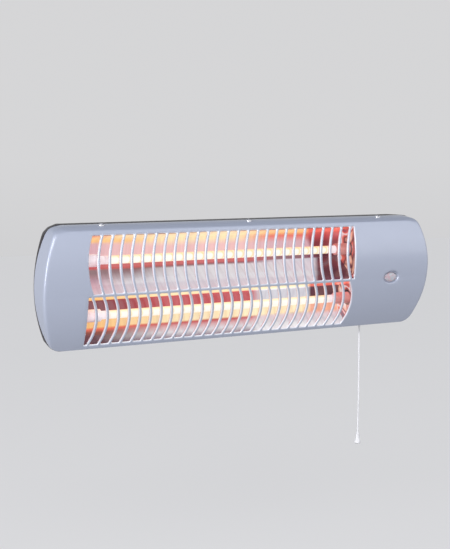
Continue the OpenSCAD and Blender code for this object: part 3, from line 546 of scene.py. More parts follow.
def applied(piece):
    """Turns the piece and its modifiers into a plain mesh."""
    depsgraph = bpy.context.evaluated_depsgraph_get()
    mesh = bpy.data.meshes.new_from_object(piece.evaluated_get(depsgraph))
    piece.modifiers.clear()
    piece.data = mesh
    return piece


def add_modifier(piece, kind, **settings):
    modifier = piece.modifiers.new(kind.lower(), kind)
    for name, value in settings.items():
        setattr(modifier, name, value)


SPLIT = ("rear_housing", "ratchet_wheel")  # nodes whose many-sided faces would fold over
MANY_SIDED = 24


def refined(node, edge, segments=2, sharp_deg=35):
    """A copy of a CAD node with clean faces and rounded edges."""
    work = bmesh.new()
    work.from_mesh(cad_nodes[node].data)
    weld(work, 1e-6)
    bmesh.ops.dissolve_limit(work, angle_limit=math.radians(0.5), verts=work.verts, edges=work.edges)
    if node in SPLIT:
        pierced = [face for face in work.faces if len(face.verts) > MANY_SIDED]
        bmesh.ops.triangulate(work, faces=pierced, ngon_method="BEAUTY")
    piece = piece_object(node + "_shape", mesh_from(work, node), look_of(node))
    add_modifier(
        piece, "BEVEL", width=edge * MM, segments=segments, limit_method="ANGLE",
        angle_limit=math.radians(sharp_deg), use_clamp_overlap=True, miter_outer="MITER_ARC",
    )
    applied(piece)
    smooth(piece.data, sharp_deg)
    return place(piece, node)


def add_loops(work, loops, capped=False):
    """Joins closed loops of points by strips of faces; a loop may be a single point."""
    rings = [[work.verts.new(point) for point in loop] for loop in loops]
    for before, after in zip(rings, rings[1:]):
        add_strip(work, before, after)
    if capped:
        work.faces.new(rings[0])
        work.faces.new(reversed(rings[-1]))


def add_strip(work, before, after):
    """A strip of faces between two rings of vertices, of which one may be a single vertex."""
    count = max(len(before), len(after))
    for k in range(count):
        j = (k + 1) % count
        if len(before) == 1:
            work.faces.new((before[0], after[k], after[j]))
        elif len(after) == 1:
            work.faces.new((before[k], after[0], before[j]))
        else:
            work.faces.new((before[k], after[k], after[j], before[j]))


def add_grid(work, rows):
    """Faces between rows of points of equal length; returns them row by row."""
    grid = [[work.verts.new(point) for point in row] for row in rows]
    made = []
    for upper, lower in zip(grid, grid[1:]):
        squares = zip(upper, upper[1:], lower[1:], lower)
        made.append([work.faces.new(corners) for corners in squares])
    return made


def finished_piece(work, name, node, sharp_deg=35):
    """Turns work in millimetres into the piece that stands for a CAD node."""
    bmesh.ops.recalc_face_normals(work, faces=work.faces)
    if work.calc_volume(signed=True) < 0:
        bmesh.ops.reverse_faces(work, faces=work.faces)
    bmesh.ops.scale(work, vec=(MM, MM, MM), verts=work.verts)
    piece = piece_object(name, mesh_from(work, name), look_of(node))
    smooth(piece.data, sharp_deg)
    return place(piece, node)


# ---- turned pieces, in millimetres ----

AXES = {
    "X": lambda along, a, b: Vector((along, a, b)),
    "Y": lambda along, a, b: Vector((b, along, a)),
    "Z": lambda along, a, b: Vector((a, b, along)),
}


def ring_angles(steps):
    return [2 * math.pi * k / steps for k in range(steps)]


def add_turned(work, profile, axis, centre, steps=32):
    """A body of revolution; the profile runs from one end to the other as (along, radius)."""
    loops = []
    for along, radius in profile:
        angles = ring_angles(steps) if radius else [0]
        loops.append([Vector(centre) + AXES[axis](along, *polar(radius, angle)) for angle in angles])
    add_loops(work, loops)


def add_hollow(work, profile, axis, centre, steps=32):
    """A body of revolution with a bore; the profile runs round its whole section."""
    add_turned(work, [*profile, profile[0]], axis, centre, steps)
    weld(work, 1e-5)


def rounded(points, radius, steps=3):
    """The profile with each inner corner replaced by a short curve."""
    result = [points[0]]
    for before, corner, after in zip(points, points[1:], points[2:]):
        corner, before, after = Vector(corner), Vector(before), Vector(after)
        reach = min(radius, (before - corner).length / 2, (after - corner).length / 2)
        start = corner + (before - corner).normalized() * reach
        end = corner + (after - corner).normalized() * reach
        for i in range(steps + 1):
            t = i / steps
            result.append(tuple(start * (1 - t) ** 2 + corner * (2 * t * (1 - t)) + end * t * t))
    return result + [points[-1]]


def turned_piece(name, node, axis, from_low, from_high=(), add=add_hollow, steps=36, round_r=0, sharp_deg=35):
    """
    A piece turned about the middle line of a CAD node. Its profile is measured from the node's lower
    end and then, downwards, from its upper end.
    """
    low, high = node_box(node)
    centre = (low + high) / 2
    at = "XYZ".index(axis)
    centre[at] = 0
    profile = [(low[at] + up, radius) for up, radius in from_low]
    profile += [(high[at] - down, radius) for down, radius in from_high]
    work = bmesh.new()
    add(work, rounded(profile, round_r) if round_r else profile, axis, centre, steps)
    return finished_piece(work, name, node, sharp_deg)


# ---- the cord ----


def cord_points(per_stretch):
    """Smooth curve through the cord's route."""
    route = [Vector(point) for point in CORD_ROUTE]
    points = []
    for a, b, c, d in zip([route[0], *route], route, route[1:], [*route[2:], route[-1]]):
        for k in range(per_stretch):
            t = k / per_stretch
            bend = (2 * a - 5 * b + 4 * c - d) * t * t + (3 * b - a - 3 * c + d) * t ** 3
            points.append(0.5 * (2 * b + (c - a) * t + bend))
    points.append(route[-1])
    return [Vector(CORD_START) + point for point in points]


def pull_cord():
    """White cord, braided from twelve strands."""
    path = cord_points(60)
    loops = []
    travelled = 0
    for before, centre in zip([path[0], *path], path):
        travelled += (centre - before).length
        twist = 2 * math.pi * travelled / BRAID_PITCH
        loop = []
        for angle in ring_angles(CORD_SIDES):
            weave = math.sin(STRANDS * (angle + twist)) * math.sin(STRANDS * (angle - twist))
            loop.append(centre + Vector((*polar(CORD_R * (0.96 + 0.04 * weave), angle), 0)))
        loops.append(loop)
    work = bmesh.new()
    add_loops(work, loops, capped=True)
    return finished_piece(work, "braided_cord", "pull_cord"), [mm(point) for point in path]


def pull_knob():
    """Bell-shaped knob with a collar at the cord and a rounded foot."""
    low, high = node_box("pull_knob")
    tall = high.z - low.z
    foot = (high.x - low.x) / 2
    profile = [
        (tall - 1, 0), (tall, 1.25), (tall, 1.9), (tall - 0.6, 2.25), (tall - 2.2, 2.3), (tall - 2.6, 2.0),
        (tall - 3.4, 2.15), (0.62 * tall, 2.55), (0.42 * tall, 3.1), (0.25 * tall, 3.75), (0.16 * tall, 4.15),
        (0.1 * tall, foot), (0.05 * tall, foot), (0, foot - 0.7), (0, 3.0), (0.5, 2.4), (1.2, 0),
    ]
    return turned_piece(
        "bell_knob", "pull_knob", "Z", profile, add=add_turned, steps=40, round_r=0.5, sharp_deg=50,
    )


cord, cord_path = pull_cord()
knob = pull_knob()

# ---- the cover's surface ----


def arc(upper, lower, bulge):
    """Centre and radius of the arc that bulges towards -Y between two points of the side view."""
    chord = math.dist(upper, lower)
    radius = (chord * chord / 4 + bulge * bulge) / (2 * bulge)
    across = ((lower[1] - upper[1]) / chord, -(lower[0] - upper[0]) / chord)
    y, z = ((a + b) / 2 - way * (radius - bulge) for a, b, way in zip(upper, lower, across))
    return (y, z), radius


UPPER_ARC = arc(FACE_TOP, RIDGE, UPPER_BULGE)
LOWER_ARC = arc(RIDGE, FACE_BOTTOM, LOWER_BULGE)


def face_y(z):
    """Depth of the face at height z."""
    (centre_y, centre_z), radius = UPPER_ARC if z > RIDGE[1] else LOWER_ARC
    return centre_y - math.sqrt(radius * radius - (z - centre_z) ** 2)


def beyond_face(point):
    """Distance of points in front of the face."""
    distances = []
    for (centre_y, centre_z), radius in (UPPER_ARC, LOWER_ARC):
        distances.append(np.hypot(point[1] - centre_y, point[2] - centre_z) - radius)
    return np.where(point[2] > RIDGE[1], distances[0], distances[1])


def beyond_line(point, front, back):
    """Distance of points above the plane through two points of the side view."""
    length = math.dist(front, back)
    rise = (back[1] - front[1]) / length
    run = (back[0] - front[0]) / length
    return (point[2] - front[1]) * run - (point[1] - front[0]) * rise


def beyond_end(point):
    """Distance of points outside the bowed ends and the round corners of the outline."""
    x = abs(point[0]) - BODY_HALF
    x = BODY_HALF + x * math.cos(DRAFT) - (point[1] - RIM_Y) * math.sin(DRAFT)
    z = abs(point[2])
    bow = np.hypot(x - (BODY_HALF - END_R), z) - END_R
    corner = np.hypot(x - CORNER_X, z - CORNER_Z) - CORNER_R
    in_corner = (x > CORNER_X) & (z - CORNER_Z > (x - CORNER_X) * math.tan(CORNER_ANGLE))
    return np.where(x > CORNER_X, np.where(in_corner, corner, bow), np.maximum(bow, z - TOP_Z))


def blend_edge(first, second, width):
    """The greater of two distances, with the edge between them rounded."""
    near = np.maximum(width - abs(first - second), 0) / width
    return np.maximum(first, second) + near * near * width / 4


def ease(value, low, high):
    t = np.clip((value - low) / (high - low), 0, 1)
    return t * t * (3 - 2 * t)


def at_corner(point):
    """How far points lie in the rounder corners of the cover, from 0 to 1."""
    return ease(abs(point[0]), CORNER_X - 9, CORNER_X + 6)


def beyond_side(point):
    """Distance of points outside the band along the top and the two ends."""
    seat = beyond_line(point, SEAT_FRONT, SEAT_BACK)
    band = blend_edge(beyond_line(point, FACE_TOP, SEAT_FRONT), seat, 0.3)
    return blend_edge(band, beyond_end(point), 0.2 + 4.8 * at_corner(point))


def beyond_cover(point):
    """Distance of points outside the pressed cover, whose folds are rounded."""
    near_rim = 0.12 + 0.88 * ease(RIM_Y - point[1], 0, 12)
    return blend_edge(beyond_face(point), beyond_side(point), (0.9 + 2.6 * at_corner(point)) * near_rim)


SLOPE_STEP = 0.02


def slope_at(points):
    """Which way and how steeply the distance from the cover grows."""
    slope = np.empty_like(points)
    for axis in range(3):
        ahead, behind = points.copy(), points.copy()
        ahead[axis] += SLOPE_STEP
        behind[axis] -= SLOPE_STEP
        slope[axis] = (beyond_cover(ahead) - beyond_cover(behind)) / (2 * SLOPE_STEP)
    return slope


def settle(points, free_axes=(1, 1, 1), rounds=6):
    """Moves points, a 3 x n array in millimetres, onto the cover's outer surface."""
    free = np.array(free_axes, float).reshape(3, -1)
    for _ in range(rounds):
        slope = slope_at(points) * free
        points = points - beyond_cover(points) * slope / np.maximum((slope * slope).sum(axis=0), 0.05)
    return points


def crossing(low, high, outside):
    """Where between low and high the outside begins."""
    for _ in range(40):
        middle = (low + high) / 2
        if outside(middle):
            high = middle
        else:
            low = middle
    return low


def fold_x(z, side):
    """Where the face folds into the end wall at height z."""
    y = face_y(z)
    return side * crossing(200.0, BODY_HALF + 2, lambda x: beyond_end((side * x, y, z)) > 0)


# The walls fan out round a corner from this point.
FAN_X = CORNER_X - 4
FAN_Z = CORNER_Z - 3


def rim_point(x, z):
    """The point of the rim that the wall runs to from a point of the face's edge."""
    side = math.copysign(1, x)
    if abs(x) < FAN_X:
        out = (0.0, 1.0)
    elif z < FAN_Z:
        out = (side, 0.0)
    else:
        out = np.array([x - side * FAN_X, z - FAN_Z])
        out /= np.hypot(*out)
    far = crossing(0.0, 40.0, lambda way: beyond_end((x + out[0] * way, RIM_Y, z + out[1] * way)) > 0)
    return x + out[0] * far, z + out[1] * far


# ---- the grille ----

SIDE_STEPS = 13  # stretches along a rib between the corners of its slots
CORNER_STEPS = (0, 1.5, 3.2)  # heights of the corner's outer points from the corner
ACROSS = (0, 0.15, 0.32, 0.5, 0.68, 0.85, 1)  # places across a cell
ROUND_STEPS = 4  # rings from the edge of a slot to the middle of its ribs
FLANGE = 1.5  # how far the sides of the ribs are turned in past their rounds


def rib_x(z, row):
    """Sideways place of a rib at height z, from where it meets the bar."""
    top, bottom = (SLOTS_TOP, RIDGE[1] + BAR_HALF) if row == "upper" else (RIDGE[1] - BAR_HALF, SLOTS_BOTTOM)
    half = (top - bottom) / 2
    middle = (top + bottom) / 2
    bow = PITCH / 2
    radius = (half * half + bow * bow) / (2 * bow)
    height = min(abs(z - middle), half)
    bulge = math.sqrt(radius * radius - height * height) - (radius - bow)
    return -bulge if row == "upper" else bulge


def cell_levels(row):
    """Heights of the points along a cell's sides, from the top down."""
    if row == "upper":
        top, bottom = SLOTS_TOP + FRAME_W, RIDGE[1]
    else:
        top, bottom = RIDGE[1], SLOTS_BOTTOM - FRAME_W
    upper = [top - step for step in CORNER_STEPS]
    lower = [bottom + step for step in reversed(CORNER_STEPS)]
    span = upper[-1] - lower[0]
    return upper + [upper[-1] - span * i / SIDE_STEPS for i in range(1, SIDE_STEPS)] + lower


def fillet(corner, before, after, radius):
    """Five points of the arc that rounds a corner, from the side before it to the side after it."""
    corner = Vector(corner)
    back = (Vector(before) - corner).normalized()
    ahead = (Vector(after) - corner).normalized()
    half = back.angle(ahead) / 2
    centre = corner + (back + ahead).normalized() * radius / math.sin(half)
    start = corner + back * radius / math.tan(half) - centre
    end = corner + ahead * radius / math.tan(half) - centre
    first = math.atan2(start.y, start.x)
    turn = (math.atan2(end.y, end.x) - first + math.pi) % (2 * math.pi) - math.pi
    angles = [first + turn * i / 4 for i in range(5)]
    return [centre + Vector(polar(radius, angle)) for angle in angles]


def slot_cell(left, right, row):
    """Matching loops of a slot and the cell round it; left and right give the cell's sides by height."""
    levels = cell_levels(row)
    top, bottom = levels[0] - FRAME_W, levels[-1] + FRAME_W
    edge = RIB_W / 2
    near = 4.0

    def at_left(z):
        return Vector((left(z) + edge, z))

    def at_right(z):
        return Vector((right(z) - edge, z))

    corners = [at_left(top), at_right(top), at_right(bottom), at_left(bottom)]
    guides = [
        (at_left(top - near), corners[1]), (corners[0], at_right(top - near)),
        (at_right(bottom + near), corners[3]), (corners[2], at_left(bottom + near)),
    ]
    radius = min(SLOT_ROUND, 0.3 * (corners[1].x - corners[0].x), 0.3 * (corners[2].x - corners[3].x))
    arcs = [fillet(corner, *guide, radius) for corner, guide in zip(corners, guides)]
    inner, outer = [], []
    for turn in range(4):
        here, after = arcs[turn], arcs[(turn + 1) % 4]
        inner += here[2:]
        if turn % 2 == 0:
            z = levels[0] if turn == 0 else levels[-1]
            ends = (left(z), right(z)) if turn == 0 else (right(z), left(z))
            inner.append((here[4] + after[0]) / 2)
            outer += [Vector((ends[0] + (ends[1] - ends[0]) * part, z)) for part in ACROSS[:-1]]
        else:
            side, heights = (at_right, levels) if turn == 1 else (at_left, levels[::-1])
            rise = after[0].y - here[4].y
            inner += [side(here[4].y + rise * i / SIDE_STEPS) for i in range(1, SIDE_STEPS)]
            outer += [Vector(((right if turn == 1 else left)(z), z)) for z in heights[:-1]]
        inner += after[:2]
    return inner, outer


def add_cell(work, left, right, row):
    """The half-round edge of sheet round one slot, turned in along the ribs."""
    inner, outer = slot_cell(left, right, row)
    top = max(point.y for point in inner)
    bottom = min(point.y for point in inner)
    flange = []
    for point in inner:
        turned_in = FLANGE * ease(min(top - point.y, point.y - bottom), 0.3, 4)
        flange.append((point.x, RIB_W / 2 + turned_in, point.y))
    loops = [flange]
    for i in range(ROUND_STEPS + 1):
        angle = math.pi / 2 * i / ROUND_STEPS
        part = 1 - math.cos(angle)
        depth = RIB_W / 2 * (1 - math.sin(angle))
        between = [a.lerp(b, part) for a, b in zip(inner, outer)]
        loops.append([(point.x, depth, point.y) for point in between])
    add_loops(work, loops)


def rib_side(joint, row):
    return lambda z: joint + rib_x(z, row)


def straight(x):
    return lambda z: x


# ---- geometry nodes ----


def socket(sockets, title):
    return sockets[int(title) if title.isdigit() else title]


def geometry_tree(name, inputs, nodes, links, made):
    """
    A geometry tree with named inputs that ends in Realize Instances and Set Material. Each node is
    its kind and its settings: a property in small letters, or else a socket's title. Each link goes
    from a node's socket to a node's socket, and the inputs lie in "given".
    """
    tree = bpy.data.node_groups.new(name, "GeometryNodeTree")
    tree.is_modifier = True
    for title, kind in {"Geometry": "Geometry", **inputs, "Material": "Material"}.items():
        tree.interface.new_socket(title, in_out="INPUT", socket_type="NodeSocket" + kind)
    tree.interface.new_socket("Geometry", in_out="OUTPUT", socket_type="NodeSocketGeometry")
    ends = {
        "given": ("NodeGroupInput", {}), "result": ("NodeGroupOutput", {}),
        "realized": ("GeometryNodeRealizeInstances", {}), "painted": ("GeometryNodeSetMaterial", {}),
    }
    named = {}
    for key, (kind, settings) in {**ends, **nodes}.items():
        named[key] = tree.nodes.new(kind)
        for title, value in settings.items():
            if title.islower():
                setattr(named[key], title, value)
            else:
                named[key].inputs[title].default_value = value
    for link in [
        *links, made + " > realized.Geometry", "realized.Geometry > painted.Geometry",
        "given.Material > painted.Material", "painted.Geometry > result.Geometry",
    ]:
        (source, output), (target, entry) = (end.split(".") for end in link.split(" > "))
        tree.links.new(socket(named[source].outputs, output), socket(named[target].inputs, entry))
    return tree


# A close winding of wire along X.
WINDING_TREE = geometry_tree(
    "winding",
    {"Turns": "Float", "Radius": "Float", "Length": "Float", "Wire radius": "Float", "Steps a turn": "Int"},
    {
        "helix": ("GeometryNodeCurveSpiral", {}),
        "turned": ("GeometryNodeTransform", {"Rotation": (0, math.pi / 2, 0)}),
        "ring": ("GeometryNodeCurvePrimitiveCircle", {"Resolution": 6}),
        "wire": ("GeometryNodeCurveToMesh", {"Fill Caps": True}),
    },
    [
        "given.Turns > helix.Rotations", "given.Radius > helix.Start Radius",
        "given.Radius > helix.End Radius", "given.Length > helix.Height",
        "given.Steps a turn > helix.Resolution", "given.Wire radius > ring.Radius",
        "helix.Curve > turned.Geometry", "turned.Geometry > wire.Curve", "ring.Curve > wire.Profile Curve",
    ],
    "wire.Mesh",
)
# A copy of the given screw on each point of a mesh, turned to the point's own direction.
SCREWS_TREE = geometry_tree(
    "screws", {"Screw": "Object", "Scale": "Float"},
    {
        "screw": ("GeometryNodeObjectInfo", {}),
        "axis": ("GeometryNodeInputNamedAttribute", {"data_type": "FLOAT_VECTOR", "Name": "axis"}),
        "turn": ("FunctionNodeAlignRotationToVector", {}), "copies": ("GeometryNodeInstanceOnPoints", {}),
    },
    [
        "given.Screw > screw.Object", "axis.Attribute > turn.Vector", "given.Geometry > copies.Points",
        "screw.Geometry > copies.Instance", "turn.Rotation > copies.Rotation", "given.Scale > copies.Scale",
    ],
    "copies.Instances",
)
# Copies of the given mesh, each a Pitch further along X and turned a Step further round it.
COPIES_TREE = geometry_tree(
    "copies", {"Count": "Int", "Pitch": "Float", "Step": "Float"},
    {
        "line": ("GeometryNodeMeshLine", {}), "shift": ("ShaderNodeCombineXYZ", {}),
        "number": ("GeometryNodeInputIndex", {}), "angle": ("ShaderNodeMath", {"operation": "MULTIPLY"}),
        "turn": ("ShaderNodeCombineXYZ", {}), "spin": ("FunctionNodeEulerToRotation", {}),
        "copies": ("GeometryNodeInstanceOnPoints", {}),
    },
    [
        "given.Count > line.Count", "given.Pitch > shift.X", "shift.Vector > line.Offset",
        "number.Index > angle.0", "given.Step > angle.1", "angle.Value > turn.X", "turn.Vector > spin.Euler",
        "line.Mesh > copies.Points", "given.Geometry > copies.Instance", "spin.Rotation > copies.Rotation",
    ],
    "copies.Instances",
)


def run_tree(piece, tree, material, **values):
    """Runs a geometry tree on the piece and leaves a plain mesh."""
    modifier = piece.modifiers.new(tree.name, "NODES")
    modifier.node_group = tree
    sockets = {item.name: item.identifier for item in tree.interface.items_tree if item.item_type == "SOCKET"}
    for name, value in {**values, "Material": material}.items():
        modifier[sockets[name.replace("_", " ")]] = value
    return applied(piece)


# ---- front cover ----

FOLD_STEPS = (5.6, 3.6, 2.4, 1.5, 0.7, 0)  # places of the last columns, measured from the fold
PANEL_STEP = 4.2
TOP_LEVELS = (FACE_TOP[1], FACE_TOP[1] - 0.5, FACE_TOP[1] - 1.2, FACE_TOP[1] - 2.2)
BOTTOM_LEVELS = (FACE_BOTTOM[1] + 2, FACE_BOTTOM[1] + 1, FACE_BOTTOM[1])
WALL_STEPS = (0, 0.03, 0.065, 0.11, 0.18, 2 / 7, 0.42, 0.57, 5 / 7, 0.82, 0.92, 1)


def grille_edge(row, side):
    """Where a row of the grille borders on the panel at one end of the cover, by height."""
    bowed = (row == "upper") == (side < 0)
    if bowed:
        joint = FIRST_JOINT_X if side < 0 else FIRST_JOINT_X + RIBS * PITCH
        return rib_side(joint, row)
    return straight(GRILLE_LEFT - RIB_W / 2 if side < 0 else GRILLE_RIGHT + RIB_W / 2)


def panel_rows(row, side):
    """Rows of points of the plain panel at one end of the cover, beside one row of slots."""
    edge = grille_edge(row, side)
    other = grille_edge("lower" if row == "upper" else "upper", side)
    fold = fold_x(RIDGE[1], side)
    start, far = edge(RIDGE[1]), other(RIDGE[1])
    wide = max(abs(start), abs(far))
    plain = side * np.linspace(wide, abs(fold) - FOLD_STEPS[0], round((abs(fold) - wide) / PANEL_STEP))
    columns = list(plain) + [fold - side * step for step in FOLD_STEPS[1:]]
    if abs(start) < abs(far):
        columns = [start + (far - start) * part for part in ACROSS[:-1]] + columns
    levels = cell_levels(row)
    levels = list(TOP_LEVELS) + levels if row == "upper" else levels + list(BOTTOM_LEVELS)
    rows = []
    for z in levels:
        shift_in, shift_out = edge(z) - start, fold_x(z, side) - fold
        parts = [(x - start) / (fold - start) for x in columns]
        rows.append([(x + shift_in * (1 - p) + shift_out * p, 0, z) for x, p in zip(columns, parts)])
    return rows


def strip_rows(levels, row):
    """Rows of points of the plain strip above or below the slots."""
    joints = [FIRST_JOINT_X + PITCH * i for i in range(RIBS + 1)]
    if row == "upper":
        joints.append(GRILLE_RIGHT + RIB_W / 2)
    else:
        joints.insert(0, GRILLE_LEFT - RIB_W / 2)
    places = [a + (b - a) * part for a, b in zip(joints, joints[1:]) for part in ACROSS[:-1]] + joints[-1:]
    return [[(x, 0, z) for x in places] for z in levels]


def slot_rows():
    """Both rows of slots as one flat mesh."""
    work = bmesh.new()
    for row in ("upper", "lower"):
        cell = bmesh.new()
        add_cell(cell, rib_side(FIRST_JOINT_X, row), rib_side(FIRST_JOINT_X + PITCH, row), row)
        piece = piece_object("slots_" + row, mesh_from(cell, "slots_" + row), MATERIALS["cover_paint"])
        take_mesh(work, run_tree(piece, COPIES_TREE, MATERIALS["cover_paint"], Count=RIBS, Pitch=PITCH))
    last = FIRST_JOINT_X + RIBS * PITCH
    add_cell(work, rib_side(last, "upper"), straight(GRILLE_RIGHT + RIB_W / 2), "upper")
    add_cell(work, straight(GRILLE_LEFT - RIB_W / 2), rib_side(FIRST_JOINT_X, "lower"), "lower")
    return work


def oval_point(angle, y, half_w, half_h):
    """A point of an oval of round arcs about the middle of the lens."""
    flat_r = 1.4 * half_w
    drop = flat_r - half_h
    along = abs(math.sin(angle)) * drop
    radius = min(half_w, -along + math.sqrt(along * along - drop * drop + flat_r * flat_r))
    x, z = polar(radius, angle)
    return LENS[0] + x, y, LENS[1] + z


# Rings of the dish from its rim inwards: how far each lies outside DISH, and its depth.
DISH_STEPS = (
    (2.4, 0), (1.6, 0.05), (0.9, 0.25), (0.4, 0.7), (0.05, 1.35), (-0.3, 1.95), (-0.7, 2.35), (-1.6, 2.4),
)


def add_dish(work, panel):
    """Cuts the panel, given as rows of faces, open and draws in the oval dish of the indicator."""
    level = min(panel, key=lambda row: abs(row[-1].calc_center_median().z - LENS[1]))
    from_fold = [
        len(level) - i for i, face in enumerate(level)
        if abs(face.calc_center_median().x - LENS[0]) < DISH[0] + 5
    ]
    inside = [
        row[-place] for row in panel for place in from_fold
        if abs(row[-1].calc_center_median().z - LENS[1]) < DISH[1] + 5
    ]
    edges = {edge for face in inside for edge in face.edges}
    rim = [edge for edge in edges if any(other not in inside for other in edge.link_faces)]
    border = {vert for edge in rim for vert in edge.verts}
    bmesh.ops.delete(work, geom=inside, context="FACES")
    angles = {vert: math.atan2(vert.co.z - LENS[1], vert.co.x - LENS[0]) for vert in border}
    ring = sorted(border, key=angles.get)
    for outset, depth in DISH_STEPS:
        after = []
        for vert in ring:
            new = work.verts.new(oval_point(angles[vert], depth, DISH[0] + outset, DISH[1] + outset))
            angles[new] = angles[vert]
            after.append(new)
        add_strip(work, ring, after)
        ring = after


def face_edge():
    """The points where the face folds into the side, from the bottom right round to the bottom left."""
    right = [panel_rows(row, 1) for row in ("upper", "lower")]
    left = [panel_rows(row, -1) for row in ("upper", "lower")]
    up = [row[-1] for row in reversed(right[0] + right[1][1:])]
    top = strip_rows(TOP_LEVELS[:1], "upper")[0]
    along = list(reversed(right[0][0][:-1])) + list(reversed(top[1:-1])) + left[0][0][:-1]
    down = [row[-1] for row in left[0] + left[1][1:]]
    return up + along + down


def add_wall(work):
    """The side of the cover from its fold to the rim."""
    edge = np.array([(x, face_y(z), z) for x, _, z in face_edge()]).T
    start = settle(edge)
    ends = np.array([rim_point(x, z) for x, _, z in start.T]).T
    rows = [start]
    for part in WALL_STEPS[1:]:
        x = start[0] + (ends[0] - start[0]) * part
        y = start[1] + (RIM_Y - start[1]) * part
        z = start[2] + (ends[1] - start[2]) * part
        rows.append(settle(np.array([x, y, z]), (1, 0, 1)))
    add_grid(work, [[tuple(point) for point in row.T] for row in rows])


def front_cover():
    work = slot_rows()
    right_panel = []
    for row in ("upper", "lower"):
        add_grid(work, panel_rows(row, -1))
        right_panel += add_grid(work, panel_rows(row, 1))
    top = SLOTS_TOP + FRAME_W
    bottom = SLOTS_BOTTOM - FRAME_W
    add_grid(work, strip_rows((*TOP_LEVELS, top), "upper"))
    add_grid(work, strip_rows((bottom, *BOTTOM_LEVELS), "lower"))
    weld(work, 0.003)
    add_dish(work, right_panel)
    flat = np.array([vert.co for vert in work.verts]).T
    depth = flat[1].copy()
    flat[1] = [face_y(z) for z in flat[2]]
    face = settle(flat)
    slope = slope_at(face)
    out = slope / np.linalg.norm(slope, axis=0)
    # The edge mark, from the face through the slots' rounds into the turned-in flanges, places the painted
    # highlight and the painted flange glow.
    edge = work.verts.layers.float.new("edge")
    for vert, point, sunk in zip(work.verts, (face - out * depth).T, depth):
        vert.co = point
        if abs(vert.co.x - GRILLE_X) < GRILLE_RIGHT - GRILLE_X + PITCH:
            vert[edge] = min(2, sunk / (RIB_W / 2))
    add_wall(work)
    weld(work, 0.003)
    bmesh.ops.dissolve_degenerate(work, edges=work.edges, dist=0.003)
    bmesh.ops.recalc_face_normals(work, faces=work.faces)
    middle = min(work.faces, key=lambda f: (f.calc_center_median() - Vector((230, RIM_Y - 20, 30))).length)
    if middle.normal.y > 0:
        bmesh.ops.reverse_faces(work, faces=work.faces)
    bmesh.ops.scale(work, vec=(MM, MM, MM), verts=work.verts)
    piece = piece_object("pressed_cover", mesh_from(work, "pressed_cover"), MATERIALS["cover_paint"])
    add_modifier(piece, "SOLIDIFY", thickness=COVER_WALL * MM, offset=-1, use_even_offset=False)
    applied(piece)
    for vert in piece.data.vertices:
        vert.co.y = min(vert.co.y, RIM_Y * MM)
    smooth(piece.data, 40)
    place(piece, "front_cover")


front_cover()

# ---- screws, tubes and small parts ----

SCREW_HEAD_R = 3.6
SCREW_HEAD_H = 2.2
SCREW_R = 1.9
THREAD_PITCH = 0.9
RECESS_DEPTH = 1.3
RECESS_TAPER = 0.72


def screw_profile(length):
    """Pointed, threaded shank and pan head of a screw, its head on the plane z = 0."""
    top, edge, neck = SCREW_HEAD_H, SCREW_HEAD_R, SCREW_R
    profile = [(-length, 0), (-length, 0.5 * neck), (-length + 1.2, neck)]
    for i in range(int((length - 1.8) / THREAD_PITCH)):
        low = -length + 1.2 + THREAD_PITCH * i
        profile += [(low + 0.3, 0.82 * neck), (low + 0.6, 0.82 * neck), (low + THREAD_PITCH, neck)]
    profile += [(-0.3, 0.95 * neck), (0, 0.97 * neck), (0, 0.96 * edge), (0.12, edge), (0.45 * top, edge)]
    for i in range(1, 7):
        angle = math.pi / 2 * i / 6
        profile.append((top * (0.45 + 0.55 * math.sin(angle)), edge * (0.35 + 0.65 * math.cos(angle))))
    return profile + [(top, 0)]


def screw_shape(length):
    """A pan-head screw with a cross recess along +Z."""
    work = bmesh.new()
    add_turned(work, screw_profile(length), "Z", (0, 0, 0))
    bmesh.ops.recalc_face_normals(work, faces=work.faces)
    screw = piece_object("screw", mesh_from(work, "screw"), MATERIALS["screw_steel"])
    cutters = []
    for wide, deep in ((0.5, 2.2), (2.2, 0.5)):
        loops = []
        for z, scale in ((SCREW_HEAD_H + 1, 1), (SCREW_HEAD_H - RECESS_DEPTH, RECESS_TAPER)):
            corners = [(-wide, -deep), (wide, -deep), (wide, deep), (-wide, deep)]
            loops.append([(scale * x, scale * y, z) for x, y in corners])
        work = bmesh.new()
        add_loops(work, loops, capped=True)
        bmesh.ops.recalc_face_normals(work, faces=work.faces)
        cutter = piece_object("recess", mesh_from(work, "recess"), MATERIALS["screw_steel"])
        cutters.append(cutter)
        add_modifier(screw, "BOOLEAN", object=cutter, operation="DIFFERENCE", solver="EXACT")
    applied(screw)
    for cutter in cutters:
        bpy.data.objects.remove(cutter)
    return screw


def screws(name, node, length, direction, spots, scale=1.0):
    """Screws at the given spots, whose heads face in one direction."""
    screw = screw_shape(length / scale)
    points = bpy.data.meshes.new(name)
    points.from_pydata([mm(spot) for spot in spots], [], [])
    for value in points.attributes.new("axis", "FLOAT_VECTOR", "POINT").data:
        value.vector = direction
    piece = piece_object(name, points, look_of(node))
    run_tree(piece, SCREWS_TREE, look_of(node), Screw=screw, Scale=scale * MM)
    bpy.data.objects.remove(screw)
    smooth(piece.data, 40)
    place(piece, node)


def four_spots(left, right, y, reach):
    """Corners of an upright rectangle about the middle height, at depth y."""
    return [(x, y, z) for x in (-left, right) for z in (-reach, reach)]


LUG_T = 2
SEAT_MID = ((SEAT_FRONT[0] + SEAT_BACK[0]) / 2, (SEAT_FRONT[1] + SEAT_BACK[1]) / 2)
SEAT_TILT = math.atan2(SEAT_BACK[1] - SEAT_FRONT[1], SEAT_BACK[0] - SEAT_FRONT[0])
SEAT_OUT = (0, -math.sin(SEAT_TILT), math.cos(SEAT_TILT))
REAR = (0, 1, 0)
FRONT = (0, -1, 0)
BLOCK = (229.5, -45.2, 22)  # middle of the terminal block's front
BLOCK_PITCH = 34 / 3

